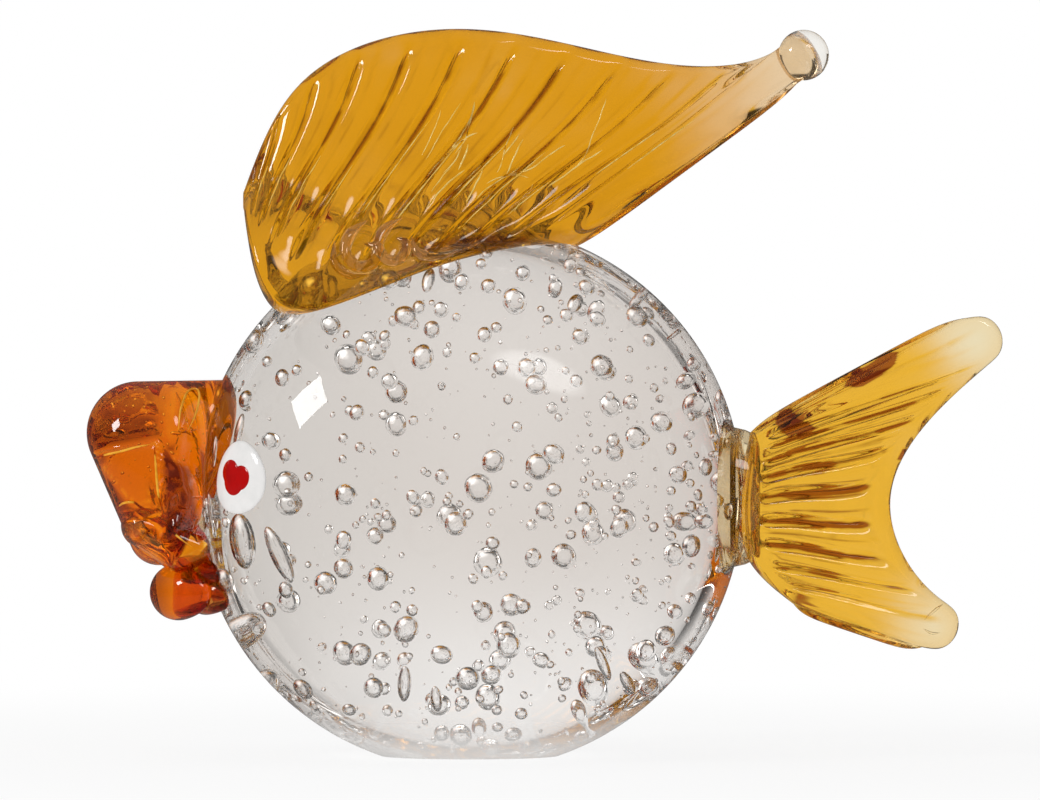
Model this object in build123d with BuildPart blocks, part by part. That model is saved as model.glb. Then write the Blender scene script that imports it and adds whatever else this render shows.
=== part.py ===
"""Hot-worked glass fish: a solid clear body with amber fins and lips and applied eyes.

Frame: millimetres, +Z up, the mouth towards -X, the tail towards +X and the fish's left side
towards -Y. The origin is the centre of the flat that is ground under the belly.
"""
import os
from math import cos, pi, radians, sin, sqrt

from build123d import *

# Body: a solid pebble of clear glass, round from the side, ground flat under the belly
body_radius = 59.5
body_half_depth = 43.0
base_grind = 3.2
body_seam_angle = -45.0

# Eyes: a white dot melted on to each cheek beside the lip, with a red drop let into it
eye_lip_gap = 0.3
eye_rise = 5.0
eye_radius = 7.9
eye_stand = 1.1
eye_sink = 0.8

# Pupils: two round lobes, one towards the mouth and one towards the tail, over a rounded point
pupil_bed = 0.3
pupil_proud = 0.25
pupil_round = 0.2
pupil_lobe_radius = 2.3
pupil_front_reach = 2.1
pupil_front_rise = 1.0
pupil_rear_reach = 0.9
pupil_rear_drop = 0.5
pupil_point_radius = 2.7
pupil_point_reach = 0.8
pupil_point_drop = 1.2

# Dorsal fin: an optic-ribbed leaf seated along the back, drawn out to a beaded tip
fin_nose_reach = 49.0
fin_nose_rise = 5.0
fin_nose_height = 4.4
fin_shoulder_x = -36.8
fin_shoulder_rise = 30.4
fin_crest_x = -4.4
fin_crest_rise = 42.3
fin_back_x = 29.6
fin_back_rise = 37.2
fin_waist_x = 51.6
fin_waist_rise = 34.2
fin_throat_x = 63.2
fin_throat_rise = 36.0
fin_bead_x = 72.6
fin_bead_rise = 36.6
fin_bead_radius = 5.5
fin_neck_length = 16.0
fin_neck_slope = 31.0
fin_neck_root_radius = 2.6
fin_neck_radius = 4.8
fin_root_radius = 9.5
fin_edge_radius = 3.6
fin_thin_radius = 1.2
fin_toe_angle = 136.0
fin_heel_angle = 68.0
fin_ribs = 13
fin_groove = 1.6
fin_rib_lean = 1.35

# Tail: two ribbed lobes with a notch between, fanned out from a collar on the body
tail_collar_half_height = 13.8
tail_collar_half_depth = 9.7
tail_collar_reach = 3.5
tail_collar_root = 14.0
tail_collar_flare = 1.8
tail_upper_reach = 47.8
tail_upper_rise = 33.9
tail_upper_angles = (120, 20, -45)
tail_lower_reach = 37.8
tail_lower_drop = 27.6
tail_lower_angles = (45, -20, -110)
tail_notch_reach = 28.5
tail_notch_drop = 1.7
tail_tip_radius = 5.6
tail_root_rise = 13.4
tail_belly_reach = 7.5
tail_belly_drop = 23.3
tail_root_radius = 9.0
tail_edge_radius = 3.8
tail_thin_radius = 1.8
tail_ribs = 11
tail_groove = 1.4
tail_rib_lean = 1.6

# Ribs: three slices each, cut by these shares of the groove, in a leaf that thins towards both ends
rib_cut_shares = (0.0, 0.25, 1.0)
rib_edge_share = 0.33
leaf_swell_power = 0.6

# Mouth: a heavy upper lip that droops over a small lower lip of two rolls
lip_half_width = 15.5
lip_crown_radius = 7.0
lip_crown_rise = 18.5
lip_nose_radius = 11.2
lip_nose_reach = 12.6
lip_nose_rise = 14.0
lip_chin_radius = 6.5
lip_chin_reach = 8.1
lip_chin_drop = 8.3
lip_corner_share = 0.35
lip_slice_step = 15
roll_radius = 6.2
roll_half_width = 12.0
roll_reach = 3.9
roll_drop = 20.6
roll_wrap = 5.0
heel_roll_radius = 4.6
heel_roll_lag = 6.0
heel_roll_drop = 0.4

# Glass that a root takes inside the body beyond its own half thickness
seat_margin = 1.5

centre_z = body_radius - base_grind
body_top = centre_z + body_radius
collar_end = body_radius + tail_collar_reach


def polar(angle, reach):
    """A step in the middle plane, at an angle in degrees up from the tail."""
    return Vector(cos(radians(angle)), 0, sin(radians(angle))) * reach


def above_back(x, rise):
    """A point in the middle plane, above the top of the body."""
    return Vector(x, 0, body_top + rise)


def behind_collar(reach, rise):
    """A point in the middle plane, behind the end of the tail's collar."""
    return Vector(collar_end + reach, 0, centre_z + rise)


def outline_point(angle, bite):
    """A point of the body's side outline, seen from its centre, sunk by a bite."""
    return Vector(0, 0, centre_z) + polar(angle, body_radius - bite)


def full_bite(half_width):
    """The depth at which a round root of a half width is wholly inside the round back."""
    sag = body_radius * (1 - sqrt(1 - (half_width / body_half_depth) ** 2))
    return half_width + sag + seat_margin


def belt(plane, *circles):
    """A face inside a band drawn tight round circles of the form (x, y, radius), anticlockwise."""
    leaves = []
    for here, after in zip(circles, circles[1:] + circles[:1]):
        step = Vector(after[0] - here[0], after[1] - here[1])
        lean = (here[2] - after[2]) / step.length
        along = step.normalized()
        leaves.append(Vector(along.Y, -along.X) * sqrt(1 - lean**2) + along * lean)
    with BuildSketch(plane) as face:
        with BuildLine():
            for index, (x, y, radius) in enumerate(circles):
                arrives = leaves[index - 1]
                swing = arrives.get_signed_angle(leaves[index], Vector(0, 0, 1)) % 360
                halfway = arrives.rotate(Axis.Z, swing / 2)
                ways = (arrives, halfway, leaves[index])
                arc = ThreePointArc(*(Vector(x, y) + way * radius for way in ways))
                next_x, next_y, next_radius = circles[(index + 1) % len(circles)]
                Line(arc @ 1, Vector(next_x, next_y) + leaves[index] * next_radius)
        make_face()
    return face.sketch


def ribbed_slices(root_line, edge_line, ribs, groove, lean, root_radius, edge_radius, thin_radius):
    """Slices of a fin, fanned from its root line to its edge line, a few to each rib."""
    slices = []
    last = len(rib_cut_shares) * ribs
    for step in range(last + 1):
        share = step / last
        root = root_line @ share**lean
        chord = (edge_line @ share) - root
        along = chord.normalized()
        swell = sin(pi * share) ** leaf_swell_power if 0 < step < last else 0.0
        cut = groove * swell * rib_cut_shares[step % len(rib_cut_shares)]
        root_size = thin_radius + (root_radius - thin_radius) * swell - cut
        edge_size = thin_radius + (edge_radius - thin_radius) * swell - cut * rib_edge_share
        plane = Plane(root, x_dir=along, z_dir=(-along.Z, 0, along.X))
        slices.append(belt(plane, (root_size, 0, root_size), (chord.length - edge_size, 0, edge_size)))
    return slices


def glass_lens(plane, radius, half_thickness):
    """A lens turned about a plane's own normal, half of it on either side."""
    across = Plane(plane.origin, x_dir=plane.x_dir, z_dir=plane.x_dir.cross(plane.z_dir))
    with BuildPart() as lens:
        with BuildSketch(across):
            with BuildLine():
                EllipticalCenterArc((0, 0), radius, half_thickness, start_angle=-90, arc_size=180)
                Line((0, half_thickness), (0, -half_thickness))
            make_face()
        revolve(axis=Axis(plane.origin, plane.z_dir))
    return lens.part


def eye_plane(side):
    """The plane of an eye: on the cheek just clear of the lip, facing out, with its Y axis up."""
    y = side * (lip_half_width + eye_lip_gap + eye_radius)
    x = -body_radius * sqrt(1 - (y / body_half_depth) ** 2 - (eye_rise / body_radius) ** 2)
    normal = Vector(x / body_radius**2, y / body_half_depth**2, eye_rise / body_radius**2).normalized()
    centre = Vector(x, y, centre_z + eye_rise) - normal * eye_sink
    return Plane(centre, x_dir=Vector(0, 0, 1).cross(normal), z_dir=normal)


def pupil_outline(plane, side):
    """The red drop: its two lobes and its point."""
    with BuildSketch(plane) as outline:
        with Locations((side * pupil_front_reach, pupil_front_rise)):
            Circle(pupil_lobe_radius)
        with Locations((-side * pupil_rear_reach, -pupil_rear_drop)):
            Circle(pupil_lobe_radius)
        with Locations((side * pupil_point_reach, -pupil_point_drop)):
            Circle(pupil_point_radius)
    return outline.sketch


def roll_slice(y, x, z, radius):
    """A round slice of a roll that runs across the mouth."""
    with BuildSketch(Plane.XZ.offset(y)) as face:
        with Locations((x, z)):
            Circle(radius)
    return face.sketch


os.makedirs("parts", exist_ok=True)
left, right = -1, 1

# Pebble: the plain form of the body, squeezed across the fish, which also trims every root
with BuildPart() as unit_ball:
    Sphere(1)
with BuildPart() as pebble:
    with Locations(Plane((0, 0, centre_z), x_dir=polar(body_seam_angle, 1), z_dir=(0, -1, 0))):
        add(scale(unit_ball.part, by=(body_radius, body_radius, body_half_depth), mode=Mode.PRIVATE))

# Body: the pebble with its base ground flat
with BuildPart() as body:
    add(pebble.part)
    split(bisect_by=Plane.XY, keep=Keep.TOP)
body.part.label = "body"
export_step(body.part, "parts/body.step")

# Dorsal fin: the leaf, its drawn tip and the bead, seated on the back
nose = above_back(-fin_nose_reach, fin_nose_rise)
half_nose = Vector(0, 0, fin_nose_height / 2)
bead = above_back(fin_bead_x, fin_bead_rise)
fin_edge = Spline(
    nose + half_nose,
    above_back(fin_shoulder_x, fin_shoulder_rise),
    above_back(fin_crest_x, fin_crest_rise),
    above_back(fin_back_x, fin_back_rise),
    above_back(fin_waist_x, fin_waist_rise),
    above_back(fin_throat_x, fin_throat_rise),
    bead + polar(fin_neck_slope + 90, fin_neck_radius),
    bead + polar(fin_neck_slope - 90, fin_neck_radius),
)
fin_root = Spline(
    nose - half_nose,
    outline_point(fin_toe_angle, seat_margin),
    outline_point((fin_toe_angle + fin_heel_angle) / 2, full_bite(fin_root_radius)),
    outline_point(fin_heel_angle, seat_margin),
)
fin_radii = (fin_root_radius, fin_edge_radius, fin_thin_radius)
with BuildPart() as dorsal_fin:
    loft(ribbed_slices(fin_root, fin_edge, fin_ribs, fin_groove, fin_rib_lean, *fin_radii), ruled=True)
    with Locations(Plane(bead, x_dir=(0, 1, 0), z_dir=polar(fin_neck_slope, -1))):
        neck_align = (Align.CENTER, Align.CENTER, Align.MIN)
        Cone(fin_neck_radius, fin_neck_root_radius, fin_neck_length, align=neck_align)
        Sphere(fin_bead_radius)
    add(pebble.part, mode=Mode.SUBTRACT)
dorsal_fin.part.label = "dorsal_fin"
export_step(dorsal_fin.part, "parts/dorsal_fin.step")

# Tail: both lobes in one ribbed leaf, with the collar that seats on the body
upper_tip = behind_collar(tail_upper_reach, tail_upper_rise)
lower_tip = behind_collar(tail_lower_reach, -tail_lower_drop)
tail_depth = tail_root_radius + seat_margin + tail_collar_reach
tail_edge = Spline(
    *(upper_tip + polar(angle, tail_tip_radius) for angle in tail_upper_angles),
    behind_collar(tail_notch_reach, -tail_notch_drop),
    *(lower_tip + polar(angle, tail_tip_radius) for angle in tail_lower_angles),
)
tail_root = Spline(
    behind_collar(-tail_depth / 2, tail_root_rise),
    behind_collar(-tail_depth, 0),
    behind_collar(-tail_depth / 2, -tail_root_rise),
    behind_collar(tail_belly_reach, -tail_belly_drop),
)
tail_radii = (tail_root_radius, tail_edge_radius, tail_thin_radius)
collar_rings = []
for x, growth in ((body_radius - tail_collar_root, tail_collar_flare), (collar_end, 0)):
    with BuildSketch(Plane.YZ.offset(x)) as collar_ring:
        with Locations((0, centre_z)):
            Ellipse(tail_collar_half_depth + growth, tail_collar_half_height + growth)
    collar_rings.append(collar_ring.sketch)
with BuildPart() as tail_fin:
    loft(ribbed_slices(tail_root, tail_edge, tail_ribs, tail_groove, tail_rib_lean, *tail_radii), ruled=True)
    loft(collar_rings, ruled=True)
    add(pebble.part, mode=Mode.SUBTRACT)
tail_fin.part.label = "tail_fin"
export_step(tail_fin.part, "parts/tail_fin.step")

# Lips: slices across the mouth, full in the middle and drawn in towards its corners
lip_slices = []
roll_slices = []
heel_slices = []
for angle in range(-90, 90 + lip_slice_step, lip_slice_step):
    across = sin(radians(angle))
    size = lip_corner_share + (1 - lip_corner_share) * cos(radians(angle))
    lip_slices.append(
        belt(
            Plane.XZ.offset(across * lip_half_width),
            (lip_crown_radius - body_radius, centre_z + lip_crown_rise * size, lip_crown_radius * size),
            (-body_radius - lip_nose_reach * size, centre_z + lip_nose_rise * size, lip_nose_radius * size),
            (-body_radius - lip_chin_reach * size, centre_z - lip_chin_drop * size, lip_chin_radius * size),
        )
    )
    roll_y = across * roll_half_width
    roll_x = -body_radius - roll_reach + roll_wrap * across**2
    roll_z = centre_z - roll_drop
    roll_slices.append(roll_slice(roll_y, roll_x, roll_z, roll_radius * size))
    heel_slices.append(
        roll_slice(roll_y, roll_x + heel_roll_lag, roll_z - heel_roll_drop, heel_roll_radius * size)
    )

# Upper lip: a rounded wedge that droops from the crown to the chin
with BuildPart() as upper_lip:
    loft(lip_slices, ruled=True)
    add(pebble.part, mode=Mode.SUBTRACT)
upper_lip.part.label = "upper_lip"
export_step(upper_lip.part, "parts/upper_lip.step")

# Lower lip: a small roll that wraps the chin, with a smaller one behind it
with BuildPart() as lower_lip:
    loft(roll_slices, ruled=True)
    loft(heel_slices, ruled=True)
    add(pebble.part, mode=Mode.SUBTRACT)
    add(upper_lip.part, mode=Mode.SUBTRACT)
lower_lip.part.label = "lower_lip"
export_step(lower_lip.part, "parts/lower_lip.step")

# Eyes: the white dot with a pocket for the pupil, and the red drop that fills it
for side, side_name in ((left, "left"), (right, "right")):
    plane = eye_plane(side)
    outline = pupil_outline(plane.offset(eye_sink + pupil_bed), side)
    with BuildPart() as eye_white:
        add(glass_lens(plane, eye_radius, eye_sink + eye_stand))
        add(pebble.part, mode=Mode.SUBTRACT)
        extrude(outline, amount=eye_stand, mode=Mode.SUBTRACT)
    eye_white.part.label = f"{side_name}_eye_white"
    export_step(eye_white.part, f"parts/{side_name}_eye_white.step")

    with BuildPart() as pupil:
        extrude(outline, amount=eye_stand - pupil_bed + pupil_proud)
        fillet(pupil.faces().sort_by(Axis(plane.origin, plane.z_dir))[-1].edges(), pupil_round)
    pupil.part.label = f"{side_name}_pupil"
    export_step(pupil.part, f"parts/{side_name}_pupil.step")
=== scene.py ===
"""Dress the glass fish: a clear bubbled body, ribbed amber fins, folded amber lips and melted-on eyes.

Units are metres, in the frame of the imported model: +Z up, the mouth towards -X, the tail towards +X and
the side that the camera sees towards -Y. The origin is the middle of the flat under the belly.
"""
from __future__ import annotations

import logging
import math
import random
from dataclasses import dataclass, field
from enum import Enum
from typing import Any, Optional, Sequence, Union

import bmesh
import bpy
import numpy as np
from mathutils import Matrix, Vector

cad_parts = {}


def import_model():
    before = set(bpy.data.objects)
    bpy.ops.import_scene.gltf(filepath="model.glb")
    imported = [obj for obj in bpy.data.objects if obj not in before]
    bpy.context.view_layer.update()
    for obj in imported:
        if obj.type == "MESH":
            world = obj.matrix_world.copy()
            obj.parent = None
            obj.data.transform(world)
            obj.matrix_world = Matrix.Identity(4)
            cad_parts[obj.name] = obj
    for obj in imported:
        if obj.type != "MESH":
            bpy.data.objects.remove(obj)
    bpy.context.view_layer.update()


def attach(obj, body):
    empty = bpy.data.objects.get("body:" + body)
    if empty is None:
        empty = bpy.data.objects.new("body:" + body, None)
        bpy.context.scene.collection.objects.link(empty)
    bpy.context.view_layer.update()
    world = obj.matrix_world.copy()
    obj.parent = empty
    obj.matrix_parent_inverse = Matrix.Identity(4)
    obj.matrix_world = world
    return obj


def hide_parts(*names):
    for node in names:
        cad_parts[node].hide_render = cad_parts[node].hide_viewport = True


LOG = logging.getLogger("glass_fish")
MM = 0.001
ROOT_BODY = "root"
GLASS_IOR = 1.5
BODY_IOR = 1.34
BUBBLE_IOR = 1.4
# Painted light on the bubble walls: a glowing painted highlight where a wall faces the first way, and a
# painted dark rim, painted shade, where it turns side-on to the camera.
PAINTED_GLINT_WAY = (-0.42, -0.76, 0.5)
PAINTED_GLINT_BAND = (0.93, 0.985)
PAINTED_RIM_SHADE_BAND = (0.2, 0.5)
# How far a thread or a speck may be from the points of its face, in millimetres
FACE_REACH = 0.9
SPECK_FINENESS = 2
THREAD_END = 0.12
THREAD_STEP = 0.5 * MM
THREAD_SIDES = 14
THREAD_POINTS = 3
HULL_TURNS = 1440
TINY = 1e-6
BLACK = (0.0, 0.0, 0.0)
WHITE = (1.0, 1.0, 1.0)

Colour = tuple[float, float, float]
Point = tuple[float, float]
Point3 = tuple[float, float, float]
Band = tuple[float, float]
Node = bpy.types.Node
Socket = bpy.types.NodeSocket
Mesh = bpy.types.Mesh
Material = bpy.types.Material
Object = bpy.types.Object
Skin = tuple[np.ndarray, list[tuple[int, ...]]]
Operand = Union["Value", float]


class Side(Enum):
    """The two sides of the fish, by the sign of Y."""

    LEFT = -1
    RIGHT = 1


class Slot(Enum):
    """The record's material slots."""

    CLEAR = "clear_glass"
    AMBER = "amber_glass"
    DEEP_AMBER = "dark_amber_glass"
    WHITE = "white_glass"
    RED = "red_glass"


class Value:
    """A number in a node tree, which adds Math nodes when Python arithmetic is done on it."""

    def __init__(self, graph: Graph, socket: Socket) -> None:
        """Keep the graph and the socket that gives the number."""
        self.graph = graph
        self.socket = socket

    def _math(self, operation: str, first: Operand, second: Operand = 0.0, third: Operand = 0.0) -> Value:
        """Add one Math node, and give its result."""
        node = self.graph.add("ShaderNodeMath", {"operation": operation}, {0: first, 1: second, 2: third})
        return Value(self.graph, node.outputs[0])

    def __add__(self, other: Operand) -> Value:
        """Add."""
        return self._math("ADD", self, other)

    __radd__ = __add__

    def __sub__(self, other: Operand) -> Value:
        """Subtract."""
        return self._math("SUBTRACT", self, other)

    def __rsub__(self, other: Operand) -> Value:
        """Subtract this from a number."""
        return self._math("SUBTRACT", other, self)

    def __mul__(self, other: Operand) -> Value:
        """Multiply."""
        return self._math("MULTIPLY", self, other)

    __rmul__ = __mul__

    def __truediv__(self, other: Operand) -> Value:
        """Divide."""
        return self._math("DIVIDE", self, other)

    def __pow__(self, other: Operand) -> Value:
        """Raise to a power."""
        return self._math("POWER", self, other)

    def apply(self, operation: str) -> Value:
        """Put this value through a one-input Math operation."""
        return self._math(operation, self)

    def angle(self, other: Value) -> Value:
        """The angle of the point that is this high and the other value along."""
        return self._math("ARCTAN2", self, other)

    def larger(self, other: Operand) -> Value:
        """The larger of this and another value."""
        return self._math("MAXIMUM", self, other)

    def bell(self, width: Operand) -> Value:
        """A bell over this value: 1 at 0, and low from a width away."""
        return ((self / width) ** 2.0 * -1.0).apply("EXPONENT")

    def ease(self, low: Operand, high: Operand) -> Value:
        """Ease from 0 at low to 1 at high.

        Args:
            low: The value at which the result leaves 0.
            high: The value at which the result reaches 1.

        Returns:
            The eased share.
        """
        sockets = {"Value": self, "From Min": low, "From Max": high}
        node = self.graph.add("ShaderNodeMapRange", {"interpolation_type": "SMOOTHSTEP"}, sockets)
        return Value(self.graph, node.outputs["Result"])


class Graph:
    """A node tree that is emptied and then written to."""

    def __init__(self, tree: bpy.types.NodeTree) -> None:
        """Empty the tree."""
        self.tree = tree
        tree.nodes.clear()

    def add(self, kind: str, settings: dict[str, Any], inputs: dict[Union[str, int], Any]) -> Node:
        """Add a node.

        Args:
            kind: The node's type.
            settings: The node's own properties, set first.
            inputs: What each input is given, by its name or place.

        Returns:
            The node.
        """
        node = self.tree.nodes.new(kind)
        for name, setting in settings.items():
            setattr(node, name, setting)
        for key, given in inputs.items():
            self.feed(node.inputs[key], given)
        return node

    def feed(self, socket: Socket, given: Any) -> None:
        """Link or set one input.

        Args:
            socket: The input.
            given: A value, a socket, a node for its first output, or a plain number or colour.
        """
        if isinstance(given, Value):
            self.tree.links.new(given.socket, socket)
        elif isinstance(given, Node):
            self.tree.links.new(given.outputs[0], socket)
        elif isinstance(given, Socket):
            self.tree.links.new(given, socket)
        elif isinstance(given, tuple) and len(given) == 3 and socket.type == "RGBA":
            socket.default_value = (*given, 1.0)
        else:
            socket.default_value = given

    def attribute(self, name: str) -> Value:
        """Read a number that the mesh stores at its points."""
        node = self.add("ShaderNodeAttribute", {"attribute_name": name}, {})
        return Value(self, node.outputs["Fac"])

    def place(self) -> Socket:
        """The place on the piece, in Object coordinates."""
        return self.add("ShaderNodeTexCoord", {}, {}).outputs["Object"]

    def split(self, vector: Socket) -> list[Value]:
        """Split a vector into its numbers along X, Y and Z."""
        parts = self.add("ShaderNodeSeparateXYZ", {}, {"Vector": vector}).outputs
        return [Value(self, part) for part in parts]

    def along(self, vector: Socket, way: Point3) -> Value:
        """How far a vector goes along a way."""
        node = self.add("ShaderNodeVectorMath", {"operation": "DOT_PRODUCT"}, {0: vector, 1: way})
        return Value(self, node.outputs["Value"])

    def cover(self, share: Operand, under: Node, over: Node) -> Node:
        """Mix the surface of one shader over that of another."""
        return self.add("ShaderNodeMixShader", {}, {0: share, 1: under, 2: over})

    def blend(self, share: Operand, first: Any, second: Any) -> Socket:
        """Mix two colours.

        Args:
            share: The share of the second colour.
            first: The colour at share 0.
            second: The colour at share 1.

        Returns:
            The mixed colour's socket.
        """
        node = self.add("ShaderNodeMix", {"data_type": "RGBA", "clamp_factor": True}, {"Factor": share})
        colours = [socket for socket in node.inputs if socket.type == "RGBA"]
        self.feed(colours[0], first)
        self.feed(colours[1], second)
        return next(socket for socket in node.outputs if socket.type == "RGBA")

    def noise(self, scale: float, detail: float) -> Value:
        """Soft noise about one half over Object coordinates, by waves in a metre and finer octaves."""
        sockets = {"Vector": self.place(), "Scale": scale, "Detail": detail}
        return Value(self, self.add("ShaderNodeTexNoise", {}, sockets).outputs["Fac"])


def put(name: str, data: Any) -> Object:
    """Put a mesh, a light or a camera into the scene.

    Args:
        name: The new object's name.
        data: What it shows.

    Returns:
        The object, at the origin.
    """
    made = bpy.data.objects.new(name, data)
    bpy.context.scene.collection.objects.link(made)
    return made


class GeometryTree(Graph):
    """A Geometry Nodes tree with named inputs, which is run once on a mesh."""

    def __init__(self, name: str, inputs: dict[str, str]) -> None:
        """Start a tree.

        Args:
            name: The tree's name.
            inputs: The type of each named input.
        """
        super().__init__(bpy.data.node_groups.new(name, "GeometryNodeTree"))
        face = self.tree.interface
        face.new_socket("Mesh", in_out="INPUT", socket_type="NodeSocketGeometry")
        self.identifiers = {
            label: face.new_socket(label, in_out="INPUT", socket_type=kind).identifier
            for label, kind in inputs.items()
        }
        face.new_socket("Mesh", in_out="OUTPUT", socket_type="NodeSocketGeometry")
        self.given = self.add("NodeGroupInput", {}, {}).outputs

    def number(self, label: str) -> Value:
        """One of the tree's named inputs, as a value."""
        return Value(self, self.given[label])

    def stored(self, label: str, kind: str = "FLOAT") -> Socket:
        """Read an attribute of the mesh, by its name and type."""
        node = self.add("GeometryNodeInputNamedAttribute", {"data_type": kind}, {"Name": label})
        return node.outputs["Attribute"]

    def store(self, geometry: Node, label: str, number: Value) -> Node:
        """Store a number at the points of what the tree has made.

        Args:
            geometry: What the tree has made so far.
            label: The number's name.
            number: The number.

        Returns:
            The geometry with its number.
        """
        settings = {"data_type": "FLOAT", "domain": "POINT"}
        sockets = {"Geometry": geometry, "Name": label, "Value": number}
        return self.add("GeometryNodeStoreNamedAttribute", settings, sockets)

    def close(self, geometry: Node) -> None:
        """End the tree: real geometry in the tree's own glass.

        Args:
            geometry: What the tree made.
        """
        real = self.add("GeometryNodeRealizeInstances", {}, {"Geometry": geometry})
        sockets = {"Geometry": real, "Material": self.given["Glass"]}
        coat = self.add("GeometryNodeSetMaterial", {}, sockets)
        self.add("NodeGroupOutput", {}, {"Mesh": coat})

    def run(self, mesh: Mesh, settings: dict[str, Any]) -> Mesh:
        """Run the tree.

        Args:
            mesh: The mesh that it starts from.
            settings: What each named input is set to.

        Returns:
            The result, as a plain mesh.
        """
        holder = put(self.tree.name, mesh)
        modifier = holder.modifiers.new(self.tree.name, "NODES")
        modifier.node_group = self.tree
        for label, setting in settings.items():
            modifier[self.identifiers[label]] = setting
        graph = bpy.context.evaluated_depsgraph_get()
        made = bpy.data.meshes.new_from_object(holder.evaluated_get(graph), depsgraph=graph)
        holder.modifiers.remove(modifier)
        bpy.data.objects.remove(holder)
        return made


@dataclass(frozen=True)
class Finish:
    """A glass finish, and how it writes its material."""

    name: str

    def material(self) -> Material:
        """Make the material.

        Returns:
            The finished material.
        """
        material = bpy.data.materials.new(self.name)
        material.use_nodes = True
        graph = Graph(material.node_tree)
        shader = graph.add("ShaderNodeBsdfPrincipled", {}, {})
        self.dress(graph, shader)
        surface = self.cover(graph, shader)
        graph.add("ShaderNodeOutputMaterial", {}, {"Surface": surface})
        return material

    def cover(self, graph: Graph, glass: Node) -> Node:
        """Cover the glass: with nothing."""
        return glass

    def dress(self, graph: Graph, shader: Node) -> None:
        """Set the shader's sockets."""
        raise NotImplementedError


@dataclass(frozen=True)
class ClearGlass(Finish):
    """Clear glass with a faint warm grey cast that drifts through the gather."""

    pale: Colour
    dense: Colour
    drift_scale: float = 14.0
    drift_band: Band = (0.3, 0.7)
    roughness: float = 0.0
    index: float = GLASS_IOR

    def cast(self, graph: Graph) -> Socket:
        """The glass's drifting cast."""
        drift = graph.noise(self.drift_scale, 1.0).ease(*self.drift_band)
        return graph.blend(drift, self.pale, self.dense)

    def dress(self, graph: Graph, shader: Node) -> None:
        """Clear, with a slow drift of its cast.

        Args:
            graph: The material's nodes.
            shader: The material's shader.
        """
        graph.feed(shader.inputs["Base Color"], self.cast(graph))
        shader.inputs["Roughness"].default_value = self.roughness
        shader.inputs["IOR"].default_value = self.index
        shader.inputs["Transmission Weight"].default_value = 1.0


@dataclass(frozen=True)
class FootedGlass(ClearGlass):
    """Clear glass, greyed in the cheek by painted shade and paler low down by painted light, with a white
    matt band of painted light over its foot.
    """

    # Painted light: the paler colour that the glass takes low down.
    fresh: Colour = (0.9, 0.88, 0.86)
    painted_light_low_band: Band = (8.0 * MM, 56.0 * MM)
    # Painted shade: the grey that the cheek takes.
    cheek: Colour = (0.63, 0.595, 0.56)
    painted_shade_cheek_band: Band = (-52.0 * MM, 2.0 * MM)
    # Painted light: a white matt band mixed over the lowest sides, above the ground foot.
    painted_foot_light: Colour = (0.86, 0.84, 0.82)
    painted_foot_light_share: float = 0.8
    painted_foot_light_roughness: float = 0.5
    painted_foot_light_band: Band = (1.0 * MM, 13.0 * MM)

    def cast(self, graph: Graph) -> Socket:
        """The drifting cast, paler towards the foot by painted light and greyed in the cheek by painted
        shade.

        Args:
            graph: The material's nodes.

        Returns:
            The colour's socket.
        """
        x, _, z = graph.split(graph.place())
        # Painted light low down, then painted shade in the cheek.
        low = 1 - z.ease(*self.painted_light_low_band)
        fresh = graph.blend(low, super().cast(graph), self.fresh)
        front = 1 - x.ease(*self.painted_shade_cheek_band)
        return graph.blend(front, fresh, self.cheek)

    def cover(self, graph: Graph, glass: Node) -> Node:
        """Mix the white matt band of painted light over the foot.

        Args:
            graph: The material's nodes.
            glass: The clear glass's shader.

        Returns:
            The mixed surface.
        """
        height = graph.split(graph.place())[2]
        share = (1 - height.ease(*self.painted_foot_light_band)) * self.painted_foot_light_share
        sockets = {"Base Color": self.painted_foot_light, "Roughness": self.painted_foot_light_roughness}
        return graph.cover(share, glass, graph.add("ShaderNodeBsdfPrincipled", {}, sockets))


@dataclass(frozen=True)
class BubbleWall(ClearGlass):
    """The wall of a bubble: clear, with a painted dark rim, painted shade, in broken stretches and a glowing
    painted highlight, both of which the mesh stores.
    """

    # Painted shade: the near-black that darkens the rim where the wall turns side-on.
    outline: Colour = (0.03, 0.03, 0.03)
    painted_rim_shade_share: float = 0.55
    painted_rim_shade_roughness: float = 0.4
    break_scale: float = 800.0
    break_band: Band = (0.44, 0.58)

    def dress(self, graph: Graph, shader: Node) -> None:
        """Clear, with its painted highlight, which glows where the mesh stores it.

        Args:
            graph: The material's nodes.
            shader: The material's shader.
        """
        super().dress(graph, shader)
        # Painted highlight: the wall glows white where the mesh's line number is high.
        graph.feed(shader.inputs["Emission Color"], graph.blend(graph.attribute("line"), BLACK, WHITE))
        shader.inputs["Emission Strength"].default_value = 1.0

    def cover(self, graph: Graph, glass: Node) -> Node:
        """Mix the painted dark rim, which is painted shade, over the wall.

        Args:
            graph: The material's nodes.
            glass: The clear wall's shader.

        Returns:
            The mixed surface.
        """
        broken = graph.noise(self.break_scale, 1.0).ease(*self.break_band)
        # Painted shade: the mesh's depth number marks the side-on rim.
        share = graph.attribute("depth") * broken * self.painted_rim_shade_share
        sockets = {"Base Color": self.outline, "Roughness": self.painted_rim_shade_roughness}
        return graph.cover(share, glass, graph.add("ShaderNodeBsdfPrincipled", {}, sockets))


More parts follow.
